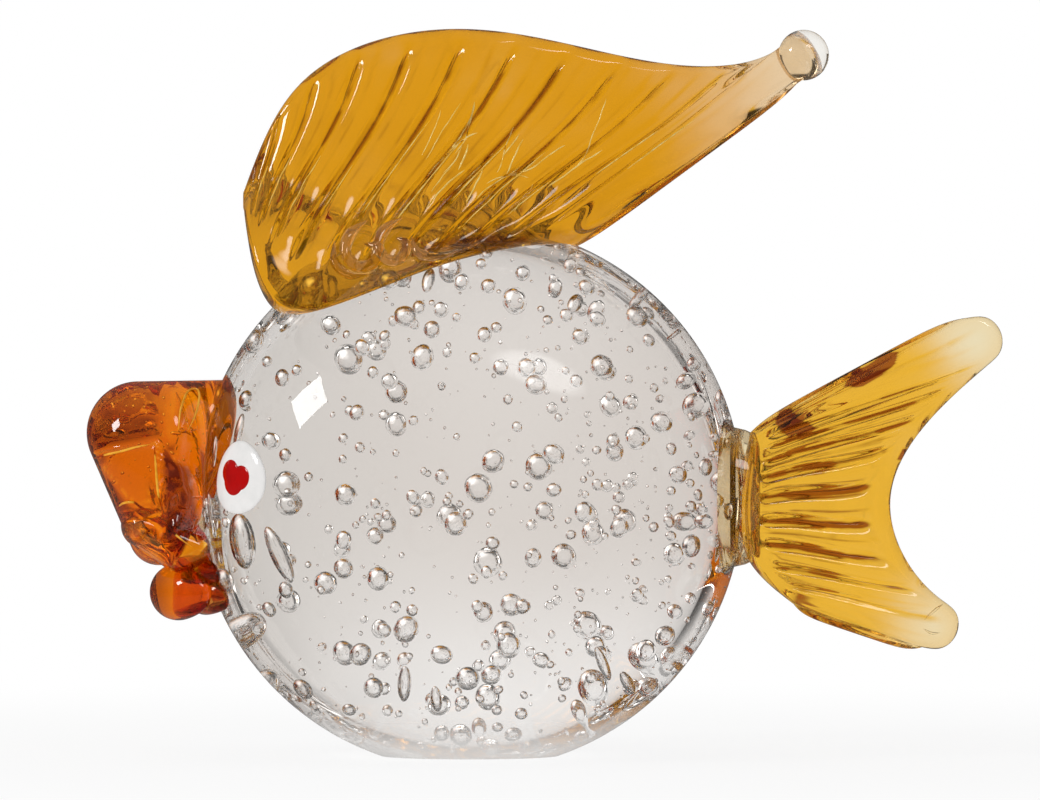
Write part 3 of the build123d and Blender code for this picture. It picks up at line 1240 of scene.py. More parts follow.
@dataclass
class RibbedLeaf:
    """A fin's leaf, fanned out from a root line in the body to its edge line."""

    root_line: SmoothLine
    edge_line: SmoothLine
    lean: float
    root_radius: float
    edge_radius: float
    thin_radius: float
    foot: float
    slices: int
    swell_power: float = 0.6
    slice_share: float = 0.4
    cap_share: float = 0.3
    root_steps: int = 8
    mid_steps: int = 52
    edge_steps: int = 14
    end_steps: int = 5
    end_reach: tuple[float, float] = (1.0, 1.0)
    end_power: int = 6
    end_along: float = 0.1
    foot_run: float = 0.5

    def lay(self) -> tuple[np.ndarray, dict[str, np.ndarray]]:
        """Lay the leaf's slices.

        Returns:
            The rings of points, and the numbers that go with each point of their skin.
        """
        share = np.linspace(0.0, 1.0, self.slices + 1)[:, None]
        root = self.root_line.at(share[:, 0] ** self.lean)
        chord = self.edge_line.at(share[:, 0]) - root
        length = np.linalg.norm(chord, axis=1)[:, None]
        way = chord / length
        swell = np.power(np.clip(np.sin(np.pi * share), 0.0, 1.0), self.swell_power)
        root_size = self.thin_radius + (self.root_radius - self.thin_radius) * swell
        edge_size = self.thin_radius + (self.edge_radius - self.thin_radius) * swell
        root_size = np.minimum(root_size, self.slice_share * length)
        edge_size = np.minimum(edge_size, self.slice_share * length)
        back = np.linspace(np.pi, np.pi / 2, self.root_steps, endpoint=False)
        middle = np.linspace(0.0, 1.0, self.mid_steps)
        front = np.linspace(np.pi / 2, 0.0, self.edge_steps + 1)[1:]
        cap = self.cap_share * root_size
        straight = cap + (length - cap - edge_size) * middle
        tip = length - edge_size + edge_size * np.cos(front)
        reach = np.hstack((cap * (1 + np.cos(back)), straight, tip))
        foot = self.foot * swell * (1 - ease(0.0, self.foot_run, middle))
        middle_half = root_size + (edge_size - root_size) * middle + foot
        root_half = (root_size + self.foot * swell) * np.sin(back)
        half = np.hstack((root_half, middle_half, edge_size * np.sin(front)))
        tip_along = 1 + self.end_along - 2 * self.end_along * front / np.pi
        along = np.hstack((np.full(len(back), -self.end_along), middle, tip_along))
        flat = root[:, None, :] + way[:, None, :] * reach[:, :, None]
        rings = self._close(np.dstack((flat[..., 0], -half, flat[..., 1])), mirror=True)
        layers = {
            "fan": np.broadcast_to(share, half.shape),
            "along": np.broadcast_to(along, half.shape),
            "swell": np.broadcast_to(swell, half.shape),
            "half": half,
        }
        layers = {name: self._close(layer[..., None], mirror=False)[..., 0] for name, layer in layers.items()}
        run = self._close((reach / length)[..., None], mirror=False)[..., 0]
        rings = self._round_ends(rings, way, run)
        pad = ((self.end_steps, self.end_steps), (0, 0))
        padded = {name: np.pad(layer, pad, mode="edge") for name, layer in layers.items()}
        return rings, {name: np.append(layer, (layer[0, 0], layer[-1, 0])) for name, layer in padded.items()}

    @staticmethod
    def _close(near: np.ndarray, mirror: bool) -> np.ndarray:
        """Add the far face's points after the near face's.

        Args:
            near: The near face's points or numbers.
            mirror: True where the far face's are across the middle plane.

        Returns:
            Whole rings.
        """
        far = near[:, -2:0:-1].copy()
        if mirror:
            far[..., 1] *= -1
        return np.concatenate((near, far), axis=1)

    def _round_ends(self, rings: np.ndarray, way: np.ndarray, run: np.ndarray) -> np.ndarray:
        """Round the first and the last slice off.

        Args:
            rings: The rings of points.
            way: The direction of each slice.
            run: How far along its slice each point is.

        Returns:
            The rings with a few more at each end.
        """
        turns = np.linspace(np.pi / 2, 0.0, self.end_steps + 1)[:-1]
        caps = []
        for index, inner in ((0, 1), (-1, -2)):
            out = np.array((way[index, 1], 0.0, -way[index, 0]))
            if np.dot(out, rings[inner].mean(axis=0) - rings[index].mean(axis=0)) > 0:
                out = -out
            bump = 1 - np.power(np.abs(2 * run[index] - 1), self.end_power)
            cap = [
                rings[index] * (1, math.cos(turn), 1)
                + out * (self.end_reach[index] * self.thin_radius * math.sin(turn) * bump)[:, None]
                for turn in turns
            ]
            caps.append(np.array(cap if index == 0 else cap[::-1]))
        return np.concatenate((caps[0], rings, caps[1]))


def turned_skin(
    profile: Sequence[Point],
    centre: np.ndarray,
    axis: np.ndarray,
    squash: tuple[float, float] = (1.0, 1.0),
    around: int = 64,
) -> Skin:
    """Turn a profile about an axis in the middle plane.

    Args:
        profile: Pairs of a distance along the axis and a radius there.
        centre: The (x, z) place of distance 0.
        axis: The (x, z) direction of the axis.
        squash: The share of the radius across the fish and in the middle plane.
        around: How many points each ring has.

    Returns:
        The skin's points and faces.
    """
    turn = unit_circle(around)
    rings = []
    for along, radius in profile:
        middle = centre + axis * along
        across = radius * squash[1] * turn[:, 0]
        depth = radius * squash[0] * turn[:, 1]
        rings.append(np.stack((middle[0] - axis[1] * across, depth, middle[1] + axis[0] * across), axis=-1))
    return skin(np.array(rings))


@dataclass
class DorsalFin:
    """The ribbed amber leaf on the back, drawn out to a clear bead."""

    PAINTED_HIGHLIGHT_PLACE = 1
    TIP_PLACE = 2

    pebble: Pebble
    nose: Point = (-49.0 * MM, 5.0 * MM)
    nose_height: float = 4.4 * MM
    shoulder: Point = (-36.8 * MM, 30.4 * MM)
    crest: Point = (-4.4 * MM, 42.28 * MM)
    back: Point = (29.6 * MM, 37.2 * MM)
    waist: Point = (51.6 * MM, 34.2 * MM)
    throat: Point = (63.2 * MM, 36.0 * MM)
    bead: Point = (72.6 * MM, 36.6 * MM)
    bead_radius: float = 5.5 * MM
    bead_turn: float = 0.497 * math.pi
    bead_rings: int = 40
    end_turns: tuple[float, ...] = (115.0, 70.0, 25.0, -25.0, -70.0, -105.0)
    neck_slope: float = 31.0
    neck_radius: float = 4.5 * MM
    neck_length: float = 34.0 * MM
    neck_spread: float = 1.4
    neck_power: float = 0.7
    crown_power: float = 1.5
    bead_cover: float = 2.6 * MM
    toe_angle: float = 136.0
    heel_angle: float = 68.0
    seat_depth: float = 1.5 * MM
    root_bite: float = 11.5 * MM
    root_lean: float = 1.35
    root_radius: float = 9.5 * MM
    edge_radius: float = 3.6 * MM
    thin_radius: float = 1.2 * MM
    foot: float = 12.0 * MM
    end_reach: Point = (0.2, 1.0)
    full_depth: float = 0.5
    thick_depth: float = 0.06
    thick_band: Band = (3 * MM, 16 * MM)
    bead_depth: float = 0.4
    bead_band: Band = (4 * MM, 50 * MM)
    # Painted shade along the rim, in broken stretches.
    painted_rim_shade_depth: float = 0.5
    painted_rim_band: Band = (1.05, 1.09)
    painted_rim_breaks: Band = (-0.1, 0.6)
    painted_rim_waves: tuple[int, ...] = (9, 2, 3)
    patch_soft: float = 0.7
    # Dark patches, each a share and its corners in millimetres: the second and third are painted shade along
    # the foot, where the fin meets the back; the first darkens the front edge.
    dark_patches: tuple[tuple[float, tuple[Point, ...]], ...] = (
        (0.45, ((-49.0, 124.5), (-47.6, 132.0), (-45.6, 136.0), (-44.6, 133.0), (-46.0, 125.5))),
        (0.3, ((-10.5, 109.5), (-6.0, 112.4), (6.0, 113.6), (12.5, 112.6), (10.0, 109.0), (0.0, 108.0))),
        (0.22, ((9.0, 111.0), (12.0, 114.4), (20.0, 114.8), (24.5, 113.0), (18.0, 109.6))),
    )
    # Painted highlights: short random threads of opaque pale enamel on the near face, standing in for bright
    # glints.
    thread_seed: int = 7
    thread_count: int = 20
    thread_box: tuple[Band, Band] = ((-12.0, 28.0), (118.0, 134.0))
    thread_ways: tuple[float, ...] = (40.0, 48.0, 55.0, 62.0, 58.0, 20.0)
    thread_spread: float = 8.0
    thread_bend: float = 3.5
    thread_shake: float = 9.0
    thread_steps: tuple[int, int] = (6, 15)
    thread_step: float = 1.2
    thread_radii: Band = (0.1, 0.2)
    # Painted highlights: trails of the same enamel beside the ribs.
    glint_side: float = 0.14
    glint_starts: Band = (0.24, 0.5)
    glint_runs: Band = (0.2, 0.45)
    glint_stop: float = 0.93
    glint_stride: int = 3
    glint_radii: Band = (0.12, 0.2)
    loops: tuple[Thread, ...] = (
        Thread(
            ((-22.0, -14.0, 116.5), (-25.6, -16.5, 113.5), (-26.6, -18.0, 109.5), (-24.0, -19.2, 106.6),
             (-20.6, -19.0, 107.4), (-20.0, -18.0, 110.5), (-22.6, -17.6, 111.4)),
            1.25,
        ),
        Thread(
            ((-14.5, -14.0, 117.0), (-18.0, -16.0, 114.6), (-19.6, -18.0, 111.0), (-17.6, -19.4, 108.0),
             (-14.6, -19.4, 108.4), (-13.6, -18.4, 111.4), (-15.6, -18.0, 112.6)),
            1.2,
        ),
        Thread(
            ((-12.5, -18.0, 113.0), (-11.0, -19.6, 109.6), (-7.0, -20.4, 108.6), (-2.0, -20.0, 110.2)), 1.0
        ),
        Thread(
            ((-29.0, -15.0, 112.0), (-29.0, -17.0, 107.6), (-26.0, -18.6, 104.6), (-22.0, -19.4, 104.8)), 1.0
        ),
    )
    press: RibPress = field(
        default_factory=lambda: RibPress(
            13, groove=2.0 * MM, width=0.12, pad=1.3 * MM, start=0.17, stop=1.04, sway=0.14, fade=0.1
        )
    )

    def _above(self, place: Point) -> np.ndarray:
        """A point of the middle plane, from its height above the back."""
        return np.array((place[0], self.pebble.top + place[1]))

    def _neck_end(self) -> np.ndarray:
        """The middle of the amber's round end, a little inside the bead."""
        return self._above(self.bead) - polar(self.neck_slope, self.bead_cover)

    def _outline(self, angle: float, bite: float) -> np.ndarray:
        """A point of the body's side outline, sunk by a bite."""
        return np.array((0.0, self.pebble.centre_z)) + polar(angle, self.pebble.radius - bite)

    def leaf(self) -> RibbedLeaf:
        """The fin's smooth leaf.

        Returns:
            The leaf, ready to be laid.
        """
        nose = self._above(self.nose)
        half_nose = np.array((0.0, self.nose_height / 2))
        bead = self._neck_end()
        marks = (self.shoulder, self.crest, self.back, self.waist, self.throat)
        edge = SmoothLine(
            (
                nose + half_nose,
                *(self._above(mark) for mark in marks),
                *(bead + polar(self.neck_slope + turn, self.neck_radius) for turn in self.end_turns),
            )
        )
        root = SmoothLine(
            (
                nose - half_nose,
                self._outline(self.toe_angle, self.seat_depth),
                self._outline((self.toe_angle + self.heel_angle) / 2, self.root_bite),
                self._outline(self.heel_angle, self.seat_depth),
            )
        )
        sizes = (self.root_lean, self.root_radius, self.edge_radius, self.thin_radius, self.foot)
        return RibbedLeaf(root, edge, *sizes, self.press.slices, end_reach=self.end_reach)

    def _draw_neck(self, rings: np.ndarray) -> np.ndarray:
        """Fill the leaf out to a round neck near the bead.

        Args:
            rings: The leaf's rings.

        Returns:
            The rings with their neck.
        """
        off = rings[..., (0, 2)] - self._neck_end()
        axis = polar(self.neck_slope, 1.0)
        along = off @ axis
        aside = np.abs(off @ np.array((-axis[1], axis[0])))
        radius = self.neck_radius * ease(-self.neck_length, 0.0, along) ** self.neck_power
        crown = np.clip(1 - np.square(aside / (self.neck_spread * self.neck_radius)), 0.0, None)
        crown = crown**self.crown_power
        end = np.sqrt(np.clip(1 - np.square(np.clip(along / self.neck_radius, 0.0, 1.0)), 0.0, None))
        filled = rings.copy()
        filled[..., 1] = np.sign(rings[..., 1]) * np.hypot(rings[..., 1], radius * crown * end)
        return filled

    def _depth(self, points: np.ndarray, half: np.ndarray) -> np.ndarray:
        """The depth of colour: full over the body, clear towards the bead, with dark patches, those along the
        foot painted shade.

        Args:
            points: The leaf's points.
            half: The half thickness at each.

        Returns:
            The depth at each.
        """
        reach = np.linalg.norm(points[:, (0, 2)] - self._above(self.bead), axis=1)
        depth = self.full_depth + self.thick_depth * ease(*self.thick_band, half)
        depth = depth * (self.bead_depth + (1 - self.bead_depth) * ease(*self.bead_band, reach))
        flat = points[:, (0, 2)] / MM
        # Dark patches: those along the foot are painted shade.
        patches = (share * within(flat, corners, self.patch_soft) for share, corners in self.dark_patches)
        return depth + sum(patches)

    def _painted_rim_shade(self, fan: np.ndarray, along: np.ndarray) -> np.ndarray:
        """The painted shade along the rim: in broken stretches.

        Args:
            fan: The place of each point round the fan.
            along: The place of each point along its slice.

        Returns:
            The painted shade that the rim adds, as depth.
        """
        turn = 2 * np.pi * fan
        rate, sway, sway_rate = self.painted_rim_waves
        wave = np.sin(rate * turn + sway * np.sin(sway_rate * turn))
        return self.painted_rim_shade_depth * ease(*self.painted_rim_band, along) * ease(*self.painted_rim_breaks, wave)

    def _glints(self, grid: np.ndarray, leaf: RibbedLeaf, chance: random.Random) -> list[Thread]:
        """Painted highlights: trails of opaque pale enamel beside the ribs.

        Args:
            grid: The ribbed leaf's points, by slice and place.
            leaf: The leaf that they are from.
            chance: The seeded source of chance.

        Returns:
            The trails, in millimetres.
        """
        trails = []
        for rib in range(1, self.press.ribs - 1):
            start = chance.uniform(*self.glint_starts)
            stop = min(start + chance.uniform(*self.glint_runs), self.glint_stop)
            steps = np.arange(int(start * leaf.mid_steps), int(stop * leaf.mid_steps))
            along = steps / (leaf.mid_steps - 1)
            turns = rib + self.press.phase + self.glint_side - self.press.sway * np.sin(2 * np.pi * along)
            rows = leaf.end_steps + np.rint(turns / self.press.ribs * leaf.slices).astype(int)
            path = grid[rows, leaf.root_steps + steps][:: self.glint_stride] / MM
            trails.append(Thread([tuple(point) for point in path], chance.uniform(*self.glint_radii)))
        return trails

    def _painted_highlight_threads(self, ribbed: Mesh, leaf: RibbedLeaf, ring: int) -> list[Thread]:
        """Painted highlights: fine threads of opaque golden enamel on the near face of the fin, with the
        trails beside the ribs.

        Args:
            ribbed: The ribbed leaf.
            leaf: The leaf that it was pressed from.
            ring: How many points each slice has.

        Returns:
            The threads, in millimetres.
        """
        places = np.zeros(3 * len(ribbed.vertices))
        ribbed.vertices.foreach_get("co", places)
        places = places.reshape(-1, 3)
        near = near_points(places)
        chance = random.Random(self.thread_seed)
        threads = self._glints(places[:-2].reshape(-1, ring, 3), leaf, chance)
        for _ in range(self.thread_count):
            spot = np.array([chance.uniform(*ends) for ends in self.thread_box])
            turn = chance.choice(self.thread_ways) + chance.uniform(-self.thread_spread, self.thread_spread)
            bend = chance.uniform(-self.thread_bend, self.thread_bend)
            path = []
            for _ in range(chance.randint(*self.thread_steps)):
                path.append(tuple(spot))
                turn += bend + chance.uniform(-self.thread_shake, self.thread_shake)
                spot = spot + polar(turn, self.thread_step)
            threads.append(lay(path, near, chance.uniform(*self.thread_radii)))
        return threads

    def build(self) -> None:
        """Make the fin."""
        plan = self.leaf()
        rings, numbers = plan.lay()
        points, faces = skin(self._draw_neck(rings))
        half = numbers.pop("half")
        leaf = Shell()
        # The depth carries the painted shade along the rim.
        depth = self._depth(points, half) + self._painted_rim_shade(numbers["fan"], numbers["along"])
        leaf.add(points, faces, {**numbers, "depth": depth})
        glass = FIN_GLASS.material()
        painted_highlight = PAINTED_HIGHLIGHT_THREAD_ENAMEL.material()
        ribbed = self.press.press(leaf.data("fin_leaf"), glass)
        shell = Shell()
        shell.take(ribbed, 0)
        turn = np.linspace(-self.bead_turn, self.bead_turn, self.bead_rings)
        profile = [(self.bead_radius * math.sin(angle), self.bead_radius * math.cos(angle)) for angle in turn]
        bead = turned_skin(profile, self._above(self.bead), polar(self.neck_slope, 1.0))
        shell.add(*bead, material=self.TIP_PLACE)
        # Painted highlights on the near face.
        threads = self._painted_highlight_threads(ribbed, plan, rings.shape[1])
        shell.take(draw_threads("fin_painted_highlights", threads, False, painted_highlight), self.PAINTED_HIGHLIGHT_PLACE)
        shell.take(draw_threads("fin_loops", self.loops, False, glass), 0)
        materials = [glass, painted_highlight, TIP_GLASS.material()]
        seat(shell.piece("dorsal_fin_glass", materials), "dorsal_fin", Slot.AMBER)


@dataclass
class TailFin:
    """The two-lobed ribbed tail, with the collar that joins it to the body."""

    pebble: Pebble
    collar_reach: float = 3.5 * MM
    collar_half_height: float = 13.8 * MM
    collar_half_depth: float = 9.7 * MM
    collar_around: int = 96
    collar_depth: float = 0.08
    collar_profile: tuple[Point, ...] = (
        (12.0 * MM, 1.13),
        (6.0 * MM, 1.11),
        (3.0 * MM, 1.06),
        (1.2 * MM, 1.0),
        (0.3 * MM, 0.94),
        (0.0, 0.85),
    )
    upper_tip: Point = (47.3 * MM, 33.9 * MM)
    lower_tip: Point = (37.8 * MM, -27.6 * MM)
    notch: Point = (28.5 * MM, -1.7 * MM)
    tip_radius: float = 5.6 * MM
    upper_turns: tuple[float, ...] = (115.0, 65.0, 20.0, -25.0, -60.0)
    lower_turns: tuple[float, ...] = (70.0, 25.0, -25.0, -70.0, -115.0)
    root_rise: float = 13.4 * MM
    belly: Point = (7.5 * MM, -23.3 * MM)
    root_lean: float = 1.6
    root_radius: float = 9.0 * MM
    edge_radius: float = 3.8 * MM
    thin_radius: float = 1.8 * MM
    seat_depth: float = 1.5 * MM
    full_depth: float = 0.46
    thick_depth: float = 0.1
    thick_band: Band = (4 * MM, 9 * MM)
    upper_band: Band = (-6 * MM, 22 * MM)
    lower_band: Band = (-6 * MM, 18 * MM)
    patch_soft: float = 0.5
    dark_patches: tuple[tuple[Point, ...], ...] = (
        ((66.4, 72.4), (67.6, 75.2), (69.6, 75.6), (71.2, 72.6), (69.6, 69.4)),
        ((69.4, 72.0), (71.6, 73.2), (75.0, 71.4), (72.0, 69.0)),
        ((81.6, 80.6), (83.6, 83.6), (87.4, 85.2), (88.8, 82.8), (85.0, 80.4)),
        ((86.4, 84.4), (90.0, 87.6), (93.0, 87.8), (92.0, 85.0), (88.6, 82.8)),
        ((93.0, 64.6), (94.2, 66.9), (96.4, 66.0), (95.4, 64.2)),
    )
    lines: tuple[Thread, ...] = (
        Thread(((98.8, -2.2, 29.6), (100.2, -2.6, 31.0), (101.6, -2.6, 32.2), (102.8, -2.2, 33.0)), 0.3),
        Thread(((98.6, -2.4, 27.8), (100.4, -2.6, 26.8), (102.2, -2.4, 26.9)), 0.3),
    )
    press: RibPress = field(
        default_factory=lambda: RibPress(
            11, groove=2.6 * MM, width=0.16, pad=1.0 * MM, start=0.1, stop=1.0, sway=0.06, fade=0.35
        )
    )

    def _behind(self, place: Point) -> np.ndarray:
        """A point of the middle plane, from its place behind the collar."""
        return np.array((self.pebble.radius + self.collar_reach + place[0], self.pebble.centre_z + place[1]))

    def leaf(self) -> RibbedLeaf:
        """The tail's smooth leaf.

        Returns:
            The leaf, ready to be laid.
        """
        upper = self._behind(self.upper_tip)
        lower = self._behind(self.lower_tip)
        depth = self.seat_depth + self.collar_reach
        edge = SmoothLine(
            (
                *(upper + polar(angle, self.tip_radius) for angle in self.upper_turns),
                self._behind(self.notch),
                *(lower + polar(angle, self.tip_radius) for angle in self.lower_turns),
            )
        )
        root = SmoothLine(
            (
                self._behind((-depth / 2, self.root_rise)),
                self._behind((-depth, 0.0)),
                self._behind((-depth / 2, -self.root_rise)),
                self._behind(self.belly),
            )
        )
        sizes = (self.root_lean, self.root_radius, self.edge_radius, self.thin_radius)
        return RibbedLeaf(root, edge, *sizes, foot=0.0, slices=self.press.slices)

    def _depth(self, points: np.ndarray, half: np.ndarray) -> np.ndarray:
        """The depth of colour: full near the body, clear at both tips.

        Args:
            points: The leaf's points.
            half: The half thickness at each.

        Returns:
            The depth at each.
        """
        flat = points[:, (0, 2)]
        upper = np.linalg.norm(flat - self._behind(self.upper_tip), axis=1)
        lower = np.linalg.norm(flat - self._behind(self.lower_tip), axis=1)
        depth = self.full_depth + self.thick_depth * ease(*self.thick_band, half)
        depth = depth * ease(*self.upper_band, upper) * ease(*self.lower_band, lower)
        return depth + sum(within(flat / MM, patch, self.patch_soft) for patch in self.dark_patches)

    def build(self) -> None:
        """Make the tail."""
        rings, numbers = self.leaf().lay()
        points, faces = skin(rings)
        half = numbers.pop("half")
        leaf = Shell()
        leaf.add(points, faces, {**numbers, "depth": self._depth(points, half)})
        glass = TAIL_GLASS.material()
        shell = Shell()
        shell.take(self.press.press(leaf.data("tail_leaf"), glass), 0)
        end = self.pebble.radius + self.collar_reach
        profile = [(end - back, share) for back, share in self.collar_profile]
        squash = (self.collar_half_depth, self.collar_half_height)
        centre = np.array((0.0, self.pebble.centre_z))
        collar = turned_skin(profile, centre, np.array((1.0, 0.0)), squash, self.collar_around)
        shell.add(*collar, {"depth": self.collar_depth})
        wall = BUBBLE_WALL.material()
        shell.take(draw_threads("tail_lines", self.lines, True, wall), 1)
        seat(shell.piece("tail_fin_glass", [glass, wall]), "tail_fin", Slot.AMBER)


def hull_ring(circles: Sequence[Point3], count: int) -> np.ndarray:
    """A tight band round circles, as points an even step apart.

    Args:
        circles: The (x, z, radius) of each circle.
        count: How many points to lay.

    Returns:
        The band's (x, z) points.
    """
    way = unit_circle(HULL_TURNS)
    centres = np.array([circle[:2] for circle in circles])
    radii = np.array([circle[2] for circle in circles])
    furthest = np.argmax(way @ centres.T + radii, axis=1)
    band = centres[furthest] + way * radii[furthest][:, None]
    band = np.concatenate((band, band[:1]))
    run = np.concatenate(([0.0], np.cumsum(np.linalg.norm(np.diff(band, axis=0), axis=1))))
    steps = np.linspace(0.0, run[-1], count, endpoint=False)
    return np.stack([np.interp(steps, run, band[:, axis]) for axis in (0, 1)], axis=-1)


def within(places: np.ndarray, corners: Sequence[Point], soft: float) -> np.ndarray:
    """How far places are inside a convex outline.

    Args:
        places: The (x, z) places.
        corners: The outline's corners, clockwise.
        soft: The half width of the step from outside to inside.

    Returns:
        A share for each place, 1 inside and 0 outside.
    """
    inside = np.full(len(places), np.inf)
    for start, end in zip(corners, (*corners[1:], corners[0])):
        side = np.array(end) - np.array(start)
        off = places - np.array(start)
        inside = np.minimum(inside, (off[:, 1] * side[0] - off[:, 0] * side[1]) / -np.hypot(*side))
    return ease(-soft, soft, inside)


@dataclass
class FoldSheet:
    """A thin fold of air that the hot glass closed over, seen as a bright-edged flap."""

    corners: tuple[Point, ...]
    depths: tuple[float, ...]
    bulge: float = 1.6 * MM
    crumple: float = 0.0
    half_gap: float = 0.22 * MM
    steps: int = 20
    rings: int = 29
    corner_power: int = 8
    edge_power: int = 6
    waves: tuple[int, ...] = (7, 3, 9, 4)

    def skin(self) -> Skin:
        """The fold's closed skin.

        Returns:
            The skin's points and faces.
        """
        square = unit_circle(4 * self.steps)
        reach = np.power(np.abs(square), self.corner_power).sum(axis=1)
        square = square / np.power(reach, 1 / self.corner_power)[:, None]
        rings = []
        for angle in np.linspace(-0.5 * np.pi, 0.5 * np.pi, self.rings + 2)[1:-1]:
            lift = self.half_gap * np.sign(angle) * (1 - math.cos(angle) ** self.edge_power)
            rings.append(self._place(square * math.cos(angle), lift))
        return skin(np.array(rings))

    def _place(self, square: np.ndarray, lift: float) -> np.ndarray:
        """Lay points of a square on the fold.

        Args:
            square: Points of the square from -1 to 1.
            lift: How far they are off the fold's middle.

        Returns:
            The points in the lip.
        """
        across = (square[:, 0] + 1) / 2
        down = (square[:, 1] + 1) / 2
        weights = np.stack(
            ((1 - across) * (1 - down), across * (1 - down), across * down, (1 - across) * down), axis=-1
        )
        flat = weights @ (np.array(self.corners) * MM)
        bow = self.bulge * (1 - square[:, 0] ** 2) * (1 - square[:, 1] ** 2)
        first, second, third, fourth = self.waves
        ripple = np.sin(third * down - fourth * across)
        wave = self.crumple * np.sin(first * across + second * down) * ripple
        y = weights @ (np.array(self.depths) * MM) + bow + wave + lift
        return np.stack((flat[:, 0], y, flat[:, 1]), axis=-1)


@dataclass
class Lips:
    """The mouth: a heavy upper lip with its tongue, which droops over a small lower lip of three rolls."""

    WALL_PLACE = 1
    TONGUE_PLACE = 2
    PAINTED_HIGHLIGHT_PLACE = 3
    ROLL_TONGUE_PLACE = 1

    pebble: Pebble
    half_width: float = 15.5 * MM
    crown: Point3 = (-7.0 * MM, 18.5 * MM, 7.0 * MM)
    nose: Point3 = (12.58 * MM, 14.0 * MM, 11.2 * MM)
    chin: Point3 = (8.1 * MM, -8.3 * MM, 6.5 * MM)
    corner_share: float = 0.35
    corner_power: int = 14
    corner_least: float = 1e-4
    roll_radius: float = 6.2 * MM
    roll_half_width: float = 12.0 * MM
    roll_reach: float = 3.9 * MM
    roll_drop: float = 20.6 * MM
    roll_wrap: float = 5.0 * MM
    roll_around: int = 72
    roll_depth: float = 0.3
    roll_front_depth: float = 0.55
    roll_band: Band = (-68.5 * MM, -60.0 * MM)
    heel_radius: float = 4.6 * MM
    heel_lag: float = 6.0 * MM
    heel_drop: float = 0.4 * MM
    heel_depth: float = 0.4
    cuff_radius: float = 4.0 * MM
    cuff_lag: float = 4.4 * MM
    cuff_rise: float = 4.6 * MM
    cuff_depth: float = 0.6
    # Painted highlights: paths in millimetres along the flap's edges, the tongue and the loop, drawn as
    # threads of opaque golden enamel on the near face.
    edges: tuple[tuple[Point, ...], ...] = (
        ((-81.9, 64.7), (-78.6, 65.8), (-75.2, 66.6), (-71.8, 67.5), (-68.3, 68.2)),
        ((-68.0, 68.2), (-67.6, 63.4), (-67.1, 57.6), (-66.2, 52.4)),
        ((-76.8, 53.2), (-75.2, 55.1), (-72.6, 55.6), (-69.7, 54.6), (-66.6, 51.9), (-63.1, 48.4),
         (-60.0, 46.0)),
        ((-65.6, 40.4), (-63.1, 39.2), (-60.5, 40.4), (-59.7, 42.3)),
        ((-62.8, 71.3), (-62.4, 75.5), (-61.1, 79.3), (-59.2, 79.9), (-58.5, 78.3), (-59.2, 74.8),
         (-60.8, 71.0)),
    )
    edge_radius: float = 0.24
    slices: int = 110
    around: int = 300
    tongue: tuple[Point3, ...] = (
        (-70.8, 50.2, 5.0), (-66.5, 47.2, 4.8), (-62.8, 43.6, 4.0), (-59.0, 45.6, 4.6)
    )
    tongue_half_width: float = 14.0 * MM
    tongue_around: int = 120
    tongue_depth: float = 0.72
    tongue_band: Band = (-65.5 * MM, -61.0 * MM)
    flap: tuple[Point, ...] = ((-81.5, 66.1), (-67.3, 68.5), (-66.7, 53.0), (-76.5, 50.2))
    flap_rise: float = 1.1 * MM
    flap_soft: float = 0.45
    # Painted highlight along the flap's edge.
    flap_edge_painted_highlight: float = 1.4
    crumple: tuple[Point, ...] = ((-66.2, 66.0), (-60.0, 63.0), (-57.5, 44.0), (-65.5, 47.0))
    crumple_rise: float = 0.45 * MM
    crumple_soft: float = 1.5
    crumple_waves: tuple[Point3, ...] = ((0.9, 0.4, 1.0), (-0.5, 0.8, 0.0), (1.2, -0.7, 0.0))
    crumple_shade: Point = (0.6, 1.2)
    brow: tuple[Point, ...] = ((-83.0, 70.0), (-79.0, 76.0), (-67.0, 74.5), (-66.0, 69.5), (-81.5, 66.6))
    brow_shade: Point = (0.55, 1.6)
    rise_band: Band = (0.2, 0.6)
    waist: float = 0.42
    waist_band: Band = (-64.0, -55.0)
    top_depth: float = 0.24
    low_depth: float = 0.18
    top_height: float = 76.0
    top_fade: float = 12.0
    chin_light: float = 0.4
    chin_band: Band = (46.0, 55.0)
    chin_back: float = 1.6
    chin_back_band: Band = (-68.0, -63.0)
    specks: SpeckCloud = SpeckCloud(
        "lip_specks", 5, 90, low=(-80.0, -13.0, 60.0), high=(-58.0, 0.0, 80.0), radii=(0.12, 0.4)
    )
    folds: tuple[FoldSheet, ...] = (
        FoldSheet(((-80.5, 65.0), (-67.3, 68.3), (-66.2, 54.0), (-75.0, 52.5)), (-7.0, -9.5, -9.0, -5.5)),
        FoldSheet(
            ((-63.8, 79.0), (-60.6, 79.0), (-59.8, 71.0), (-62.4, 70.0)), (-7.0, -7.5, -6.0, -6.5), -1.2 * MM
        ),
        FoldSheet(
            ((-69.0, 62.0), (-61.0, 60.0), (-59.5, 47.0), (-66.0, 49.0)),
            (-1.0, -2.0, 0.0, 1.0), 1.0 * MM, 1.3 * MM,
        ),
        FoldSheet(
            ((-80.0, 75.0), (-69.0, 76.5), (-66.0, 69.0), (-79.0, 68.0)),
            (-2.0, -1.0, 0.0, -2.0), 1.5 * MM, 1.1 * MM,
        ),
    )

    def _slices(self) -> tuple[np.ndarray, np.ndarray]:
        """The place of each slice across the mouth, and its share of full size.

        Returns:
            The places from -1 to 1, and the shares.
        """
        angle = np.linspace(-0.5 * np.pi, 0.5 * np.pi, self.slices + 1)
        across = np.sin(angle)
        size = self.corner_share + (1 - self.corner_share) * np.cos(angle)
        end = np.clip(1 - np.power(np.abs(across), self.corner_power), self.corner_least, 1.0)
        return across, size * np.sqrt(end)

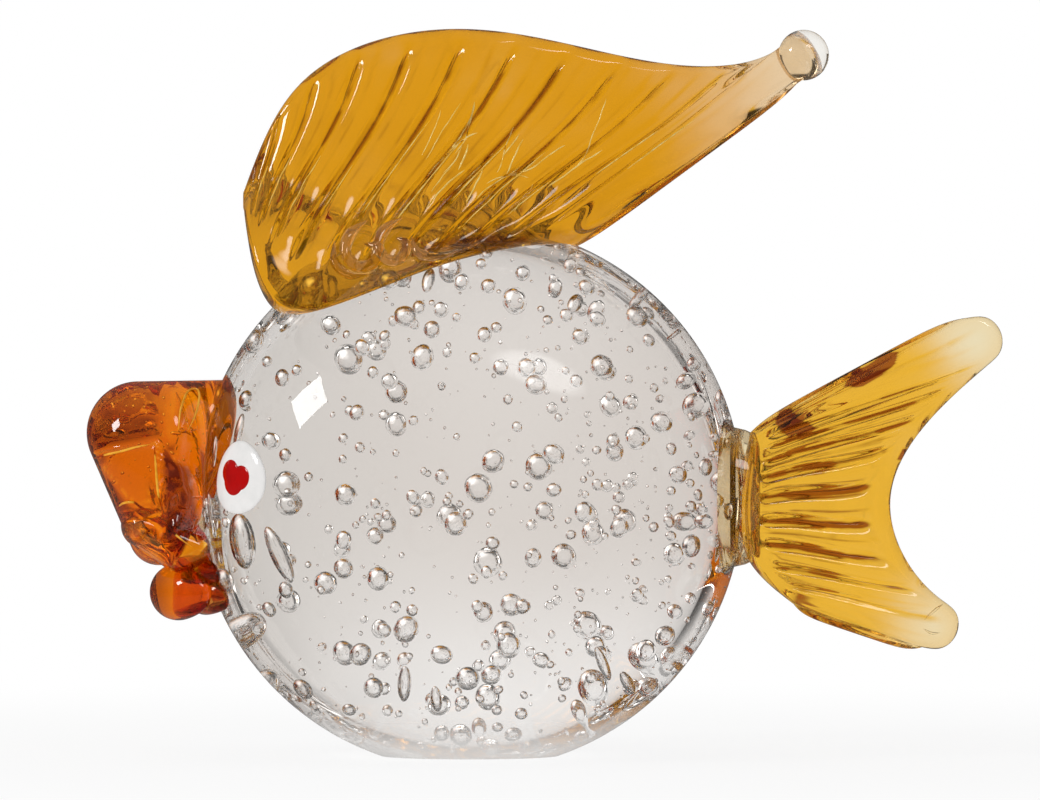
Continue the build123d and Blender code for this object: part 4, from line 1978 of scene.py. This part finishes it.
    def _roll(self, radius: float, lag: float, drop: float) -> Skin:
        """A roll of the lower lip.

        Args:
            radius: Its radius in the middle.
            lag: How far it is behind the front roll.
            drop: How far it is below it.

        Returns:
            The roll's points and faces.
        """
        rings = []
        for place, share in zip(*self._slices()):
            x = -self.pebble.radius - self.roll_reach + self.roll_wrap * place**2 + lag
            z = self.pebble.centre_z - self.roll_drop - drop
            flat = np.array((x, z)) + radius * share * unit_circle(self.roll_around)
            rings.append(ring_at(flat, place * self.roll_half_width))
        return skin(np.array(rings))

    def _wedge(self) -> Skin:
        """The upper lip's wedge.

        Returns:
            The wedge's points and faces.
        """
        rings = []
        for place, share in zip(*self._slices()):
            circles = [
                (
                    -self.pebble.radius - reach * (share if reach > 0 else 1.0),
                    self.pebble.centre_z + rise * share,
                    radius * share,
                )
                for reach, rise, radius in (self.crown, self.nose, self.chin)
            ]
            rings.append(ring_at(hull_ring(circles, self.around), place * self.half_width))
        points, faces = skin(np.array(rings))
        return self._fold(points), faces

    def _fold(self, points: np.ndarray) -> np.ndarray:
        """Raise the flap, crumple the cheek and draw the root in towards the body.

        Args:
            points: The wedge's points.

        Returns:
            The folded points.
        """
        flat = points[:, (0, 2)] / MM
        x, z = flat[:, 0], flat[:, 1]
        wave = sum(np.sin(rate * x + climb * z + start) for rate, climb, start in self.crumple_waves)
        rise = self.flap_rise * within(flat, self.flap, self.flap_soft)
        rise = rise + self.crumple_rise * within(flat, self.crumple, self.crumple_soft) * wave
        share = np.clip(np.abs(points[:, 1]) / self.half_width, 0.0, 1.0)
        folded = points.copy()
        folded[:, 1] += np.sign(points[:, 1]) * rise * ease(*self.rise_band, share)
        folded[:, 1] *= 1 - self.waist * ease(*self.waist_band, x)
        return folded

    def _tongue(self) -> Skin:
        """The tongue of glass that hangs from the wedge over the lower lip.

        Returns:
            The tongue's points and faces.
        """
        rings = []
        for place, share in zip(*self._slices()):
            circles = [(x * MM, z * MM, radius * share * MM) for x, z, radius in self.tongue]
            rings.append(ring_at(hull_ring(circles, self.tongue_around), place * self.tongue_half_width))
        return skin(np.array(rings))

    def _wedge_depth(self, points: np.ndarray) -> np.ndarray:
        """The upper lip's depth of colour: lighter along the top, with painted shade in the crumple and over
        the brow, a painted highlight along the flap's edge, and lighter at the chin.

        Args:
            points: The wedge's points.

        Returns:
            The depth at each.
        """
        flat = points[:, (0, 2)] / MM
        x, z = flat[:, 0], flat[:, 1]
        depth = self.top_depth + self.low_depth * ease(0.0, 1.0, (self.top_height - z) / self.top_fade)
        flap = within(flat, self.flap, self.flap_soft)
        # Painted shade in the crumple and over the brow.
        shades = ((self.crumple, self.crumple_shade), (self.brow, self.brow_shade))
        dark = sum(share * within(flat, corners, soft) for corners, (share, soft) in shades)
        back = 1 - self.chin_back * ease(*self.chin_back_band, x)
        chin = self.chin_light * (1 - ease(*self.chin_band, z)) * back
        # The flap's edge is lightened as a painted highlight.
        return np.clip(depth + dark - chin - self.flap_edge_painted_highlight * flap * (1 - flap), 0.0, 1.0)

    def build(self) -> None:
        """Make both lips."""
        wall = BUBBLE_WALL.material()
        glass = LIP_GLASS.material()
        upper = Shell()
        points, faces = self._wedge()
        upper.add(points, faces, {"depth": self._wedge_depth(points)})
        tongue, tongue_faces = self._tongue()
        bare = ease(*self.tongue_band, tongue[:, 0])
        upper.add(tongue, tongue_faces, {"depth": self.tongue_depth * bare}, self.TONGUE_PLACE)
        near = near_points(np.concatenate((points, tongue)))
        # Painted highlights along the folds' edges.
        threads = [lay(path, near, self.edge_radius) for path in self.edges]
        painted_highlight = PAINTED_HIGHLIGHT_EDGE_ENAMEL.material()
        upper.take(draw_threads("lip_painted_highlights", threads, False, painted_highlight), self.PAINTED_HIGHLIGHT_PLACE)
        upper.take(self.specks.mesh(near, wall), self.WALL_PLACE)
        for fold in self.folds:
            upper.add(*fold.skin(), material=self.WALL_PLACE, hollow=True)
        materials = [glass, wall, TONGUE_GLASS.material(), painted_highlight]
        seat(upper.piece("upper_lip_glass", materials), "upper_lip", Slot.DEEP_AMBER)
        lower = Shell()
        points, faces = self._roll(self.roll_radius, 0.0, 0.0)
        front = 1 - ease(*self.roll_band, points[:, 0])
        lower.add(points, faces, {"depth": self.roll_depth + self.roll_front_depth * front})
        for radius, lag, drop, depth in (
            (self.heel_radius, self.heel_lag, self.heel_drop, self.heel_depth),
            (self.cuff_radius, self.cuff_lag, -self.cuff_rise, self.cuff_depth),
        ):
            lower.add(*self._roll(radius, lag, drop), {"depth": depth}, self.ROLL_TONGUE_PLACE)
        seat(lower.piece("lower_lip_glass", [glass, TONGUE_GLASS.material()]), "lower_lip", Slot.DEEP_AMBER)


@dataclass
class Eye:
    """One eye: a white dot melted on to the cheek, and the red drop on it."""

    pebble: Pebble
    side: Side
    aside: float = 23.7 * MM
    rise: float = 5.0 * MM
    radius: float = 7.9 * MM
    stand: float = 1.1 * MM
    sink: float = 0.8 * MM
    tilt: float = -12.0
    egg: float = 0.16
    crown: float = 0.6
    pupil_lobe: float = 2.8 * MM
    pupil_point: float = 3.4 * MM
    pupil_front: Point = (1.9 * MM, 1.0 * MM)
    pupil_rear: Point = (-1.7 * MM, -0.2 * MM)
    pupil_tip: Point = (0.5 * MM, -0.8 * MM)
    pupil_bed: float = 0.35 * MM
    pupil_stand: float = 0.2 * MM
    pupil_start: Point = (0.3, -0.1)
    pupil_crown: float = 0.35
    around: int = 96
    steps: int = 16

    def _frame(self) -> tuple[np.ndarray, np.ndarray, np.ndarray, np.ndarray]:
        """The eye's middle on the body's skin, and the ways across, up and out there.

        Returns:
            The middle and three directions.
        """
        half = self.pebble.half_sizes
        x = -half[0] * math.sqrt(1 - (self.aside / half[1]) ** 2 - (self.rise / half[2]) ** 2)
        middle = np.array((x, self.side.value * self.aside, self.rise))
        out = middle / np.square(half)
        out /= np.linalg.norm(out)
        across = np.cross((0, 0, 1), out)
        across /= np.linalg.norm(across)
        return middle + (0, 0, self.pebble.centre_z), across, np.cross(out, across), out

    def _dome(self, outline: np.ndarray, low: float, high: float, crown: float) -> Skin:
        """A dome over the body's skin, inside an outline.

        Args:
            outline: Points of the outline in the eye's plane.
            low: How far the dome's floor is above the skin.
            high: How far its top is above the skin.
            crown: The power that shapes its fall to the rim.

        Returns:
            The dome's points and faces.
        """
        middle, across, up, out = self._frame()
        rings = []
        for angle in np.linspace(-0.5 * np.pi, 0.5 * np.pi, 2 * self.steps + 1)[1:-1]:
            reach = outline * math.cos(angle) ** crown
            lift = (high + low) / 2 + (high - low) / 2 * math.sin(angle)
            flat = middle + reach[:, :1] * across + reach[:, 1:] * up
            rings.append(self._settle(flat, out) + out * lift)
        return skin(np.array(rings))

    def _settle(self, points: np.ndarray, out: np.ndarray) -> np.ndarray:
        """Drop points along a direction on to the body's skin.

        Args:
            points: The points.
            out: The direction out of the body.

        Returns:
            The points on the skin.
        """
        half = self.pebble.half_sizes
        start = (points - (0, 0, self.pebble.centre_z)) / half
        way = out / half
        square = way @ way
        slope = start @ way
        over = np.square(start).sum(axis=1) - 1
        step = (np.sqrt(np.clip(slope * slope - square * over, 0.0, None)) - slope) / square
        return points + step[:, None] * out

    def _white_outline(self) -> np.ndarray:
        """The white dot's outline: an egg, fuller below.

        Returns:
            Its points in the eye's plane.
        """
        egg = unit_circle(self.around)
        egg[:, 0] *= 1 - self.egg * egg[:, 1]
        egg = self.radius * egg
        turn = self.side.value * math.radians(self.tilt)
        return egg @ np.array(((math.cos(turn), math.sin(turn)), (-math.sin(turn), math.cos(turn))))

    def _pupil_outline(self) -> np.ndarray:
        """The red drop's outline: two lobes over a rounded point.

        Returns:
            Its points in the eye's plane.
        """
        sign = self.side.value
        circles = (
            (self.pupil_front, self.pupil_lobe),
            (self.pupil_rear, self.pupil_lobe),
            (self.pupil_tip, self.pupil_point),
        )
        way = unit_circle(self.around)
        start = np.array((sign * self.pupil_start[0], self.pupil_start[1])) * self.pupil_lobe
        reach = np.zeros(self.around)
        for (x, y), radius in circles:
            off = np.array((sign * x, y)) - start
            along = way @ off
            inside = radius**2 - (off @ off - along**2)
            reach = np.maximum(reach, along + np.sqrt(np.clip(inside, 0.0, None)))
        return start + way * reach[:, None]

    def build(self) -> None:
        """Make the eye."""
        name = self.side.name.lower()
        white = Shell()
        white.add(*self._dome(self._white_outline(), -self.sink, self.stand, self.crown))
        seat(white.piece(f"{name}_eye_dot", [EYE_ENAMEL.material()]), f"{name}_eye_white", Slot.WHITE)
        red = Shell()
        top = self.stand + self.pupil_stand
        red.add(*self._dome(self._pupil_outline(), self.pupil_bed, top, self.pupil_crown))
        seat(red.piece(f"{name}_eye_drop", [PUPIL_ENAMEL.material()]), f"{name}_pupil", Slot.RED)


@dataclass
class Studio:
    """The pale floor, the light and the camera."""

    view_middle: Point3 = (10.96 * MM, 0.0, 77.43 * MM)
    view_width: float = 226.2 * MM
    elevation: float = 1.0
    lens: float = 300.0
    sensor: float = 36.0
    floor_half: float = 3.0
    floor_front: float = -0.3
    floor_colour: Colour = (0.93, 0.93, 0.93)
    floor_glow: float = 0.86
    floor_fade: Band = (0.1, 0.34)
    key_way: Point3 = (-0.809, -0.385, 0.444)
    key_edge: Point3 = (0.133, -0.087, 0.142)
    key_sides: tuple[float, float] = (0.19, 0.185)
    key_distance: float = 0.9
    key_radiance: float = 18.0
    oval_way: Point3 = (0.364, -0.659, 0.658)
    oval_across: Point3 = (0.886, 0.464, 0.0)
    oval_up: Point3 = (0.0, 0.707, 0.707)
    oval_half: tuple[float, float] = (0.235, 0.12)
    oval_edge: Band = (0.4, 1.3)
    oval_radiance: float = 7.0
    fill_level: float = 0.62
    room_level: float = 0.06
    sky_level: float = 0.14
    sky_band: Band = (-0.2, 1.0)
    band_level: float = 0.08
    side_band: tuple[Band, Band] = ((0.76, 0.86), (0.97, 0.995))
    top_band: tuple[Band, Band] = ((0.7, 0.82), (0.96, 0.99))
    mirror_level: float = 0.1
    arc_count: int = 5
    arc_radiance: float = 3.4
    arc_depth: Band = (0.1, 0.26)
    arc_edge: Band = (0.1, 0.5)
    nearest: float = 0.01
    bounces: int = 32
    glossy_bounces: int = 12

    def _key(self) -> None:
        """Hang the square soft box, turned so that the body shows it as a diamond."""
        lamp = bpy.data.lights.new("key_box", "AREA")
        lamp.shape = "RECTANGLE"
        lamp.size, lamp.size_y = self.key_sides
        lamp.energy = self.key_radiance * lamp.size * lamp.size_y * math.pi
        holder = put("key_box", lamp)
        out = Vector(self.key_way).normalized()
        edge = Vector(self.key_edge)
        edge = (edge - out * edge.dot(out)).normalized()
        turn = Matrix((edge, out.cross(edge), out)).transposed().to_4x4()
        holder.matrix_world = Matrix.Translation(Vector(self.view_middle) + out * self.key_distance) @ turn
        holder.visible_transmission = False

    def _world(self) -> None:
        """White behind the fish, with darker bands at the sides and above that only the glass picks out."""
        world = bpy.data.worlds.new("studio")
        bpy.context.scene.world = world
        world.use_nodes = True
        graph = Graph(world.node_tree)
        way = graph.add("ShaderNodeTexCoord", {}, {}).outputs["Generated"]
        x, y, z = graph.split(way)
        sideways = x.apply("ABSOLUTE") / (x * x + y * y + TINY) ** 0.5
        bands = [
            across.ease(*rise) * (1 - across.ease(*fall))
            for across, (rise, fall) in ((sideways, self.side_band), (z, self.top_band))
        ]
        through = graph.blend(bands[0].larger(bands[1]), WHITE, (self.band_level,) * 3)
        shares = []
        for axis, half in zip((self.oval_across, self.oval_up), self.oval_half):
            shares.append((graph.along(way, axis) - Vector(axis).dot(Vector(self.oval_way))) / half)
        oval = 1 - (shares[0] * shares[0] + shares[1] * shares[1]).ease(*self.oval_edge)
        turn = z.angle(x) * self.arc_count
        arcs = (1 - y.apply("ABSOLUTE").ease(*self.arc_depth)) * turn.apply("SINE").ease(*self.arc_edge)
        through = graph.blend(arcs, through, (self.arc_radiance,) * 3)
        room = z.ease(*self.sky_band) * self.sky_level + self.room_level + oval * self.oval_radiance
        path = graph.add("ShaderNodeLightPath", {}, {}).outputs
        glow = self.fill_level + Value(graph, path["Is Glossy Ray"]) * (room - self.fill_level)
        plain = graph.add("ShaderNodeCombineXYZ", {}, {"X": glow, "Y": glow, "Z": glow})
        seen = graph.blend(Value(graph, path["Is Transmission Ray"]), plain, through)
        colour = graph.blend(Value(graph, path["Is Camera Ray"]), seen, WHITE)
        background = graph.add("ShaderNodeBackground", {}, {"Color": colour, "Strength": 1.0})
        graph.add("ShaderNodeOutputWorld", {}, {"Surface": background})

    def _floor(self) -> None:
        """Lay the floor, which fades to white away from the fish."""
        data = bpy.data.meshes.new("floor")
        half = self.floor_half
        front = self.floor_front
        corners = [(-half, front, 0), (half, front, 0), (half, half, 0), (-half, half, 0)]
        data.from_pydata(corners, [], [(0, 1, 2, 3)])
        material = bpy.data.materials.new("pale_floor")
        material.use_nodes = True
        graph = Graph(material.node_tree)
        length = graph.add("ShaderNodeVectorMath", {"operation": "LENGTH"}, {0: graph.place()})
        far = Value(graph, length.outputs["Value"]).ease(*self.floor_fade)
        matt = graph.add("ShaderNodeBsdfDiffuse", {}, {"Color": self.floor_colour})
        path = graph.add("ShaderNodeLightPath", {}, {}).outputs
        mirrored = Value(graph, path["Is Glossy Ray"]) * (1 - Value(graph, path["Is Transmission Ray"]))
        shade = graph.blend(mirrored, WHITE, (self.mirror_level,) * 3)
        white = graph.add("ShaderNodeEmission", {}, {"Color": shade, "Strength": 1.0})
        glow = self.floor_glow + far * (1 - self.floor_glow)
        graph.add("ShaderNodeOutputMaterial", {}, {"Surface": graph.cover(glow, matt, white)})
        data.materials.append(material)
        floor = put("floor", data)

    def _camera(self) -> None:
        """Set the camera at the photograph's angle."""
        data = bpy.data.cameras.new("camera")
        data.lens = self.lens
        data.sensor_width = self.sensor
        data.sensor_fit = "HORIZONTAL"
        data.clip_start = self.nearest
        holder = put("camera", data)
        distance = self.view_width * self.lens / self.sensor
        angle = math.radians(self.elevation)
        out = Vector((0.0, -math.cos(angle), math.sin(angle)))
        holder.location = Vector(self.view_middle) + out * distance
        holder.rotation_euler = (-out).to_track_quat("-Z", "Y").to_euler()
        bpy.context.scene.camera = holder

    def build(self) -> None:
        """Set the stage."""
        scene = bpy.context.scene
        scene.view_settings.view_transform = "Standard"
        scene.cycles.max_bounces = self.bounces
        scene.cycles.transmission_bounces = self.bounces
        scene.cycles.glossy_bounces = self.glossy_bounces
        self._world()
        self._floor()
        self._camera()
        self._key()


def main() -> None:
    """Build the fish and its studio."""
    logging.basicConfig(level=logging.INFO)
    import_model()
    pebble = Pebble()
    Body(pebble).build()
    DorsalFin(pebble).build()
    TailFin(pebble).build()
    Lips(pebble).build()
    for side in Side:
        Eye(pebble, side).build()
    Studio().build()


if __name__ == "__main__":
    main()
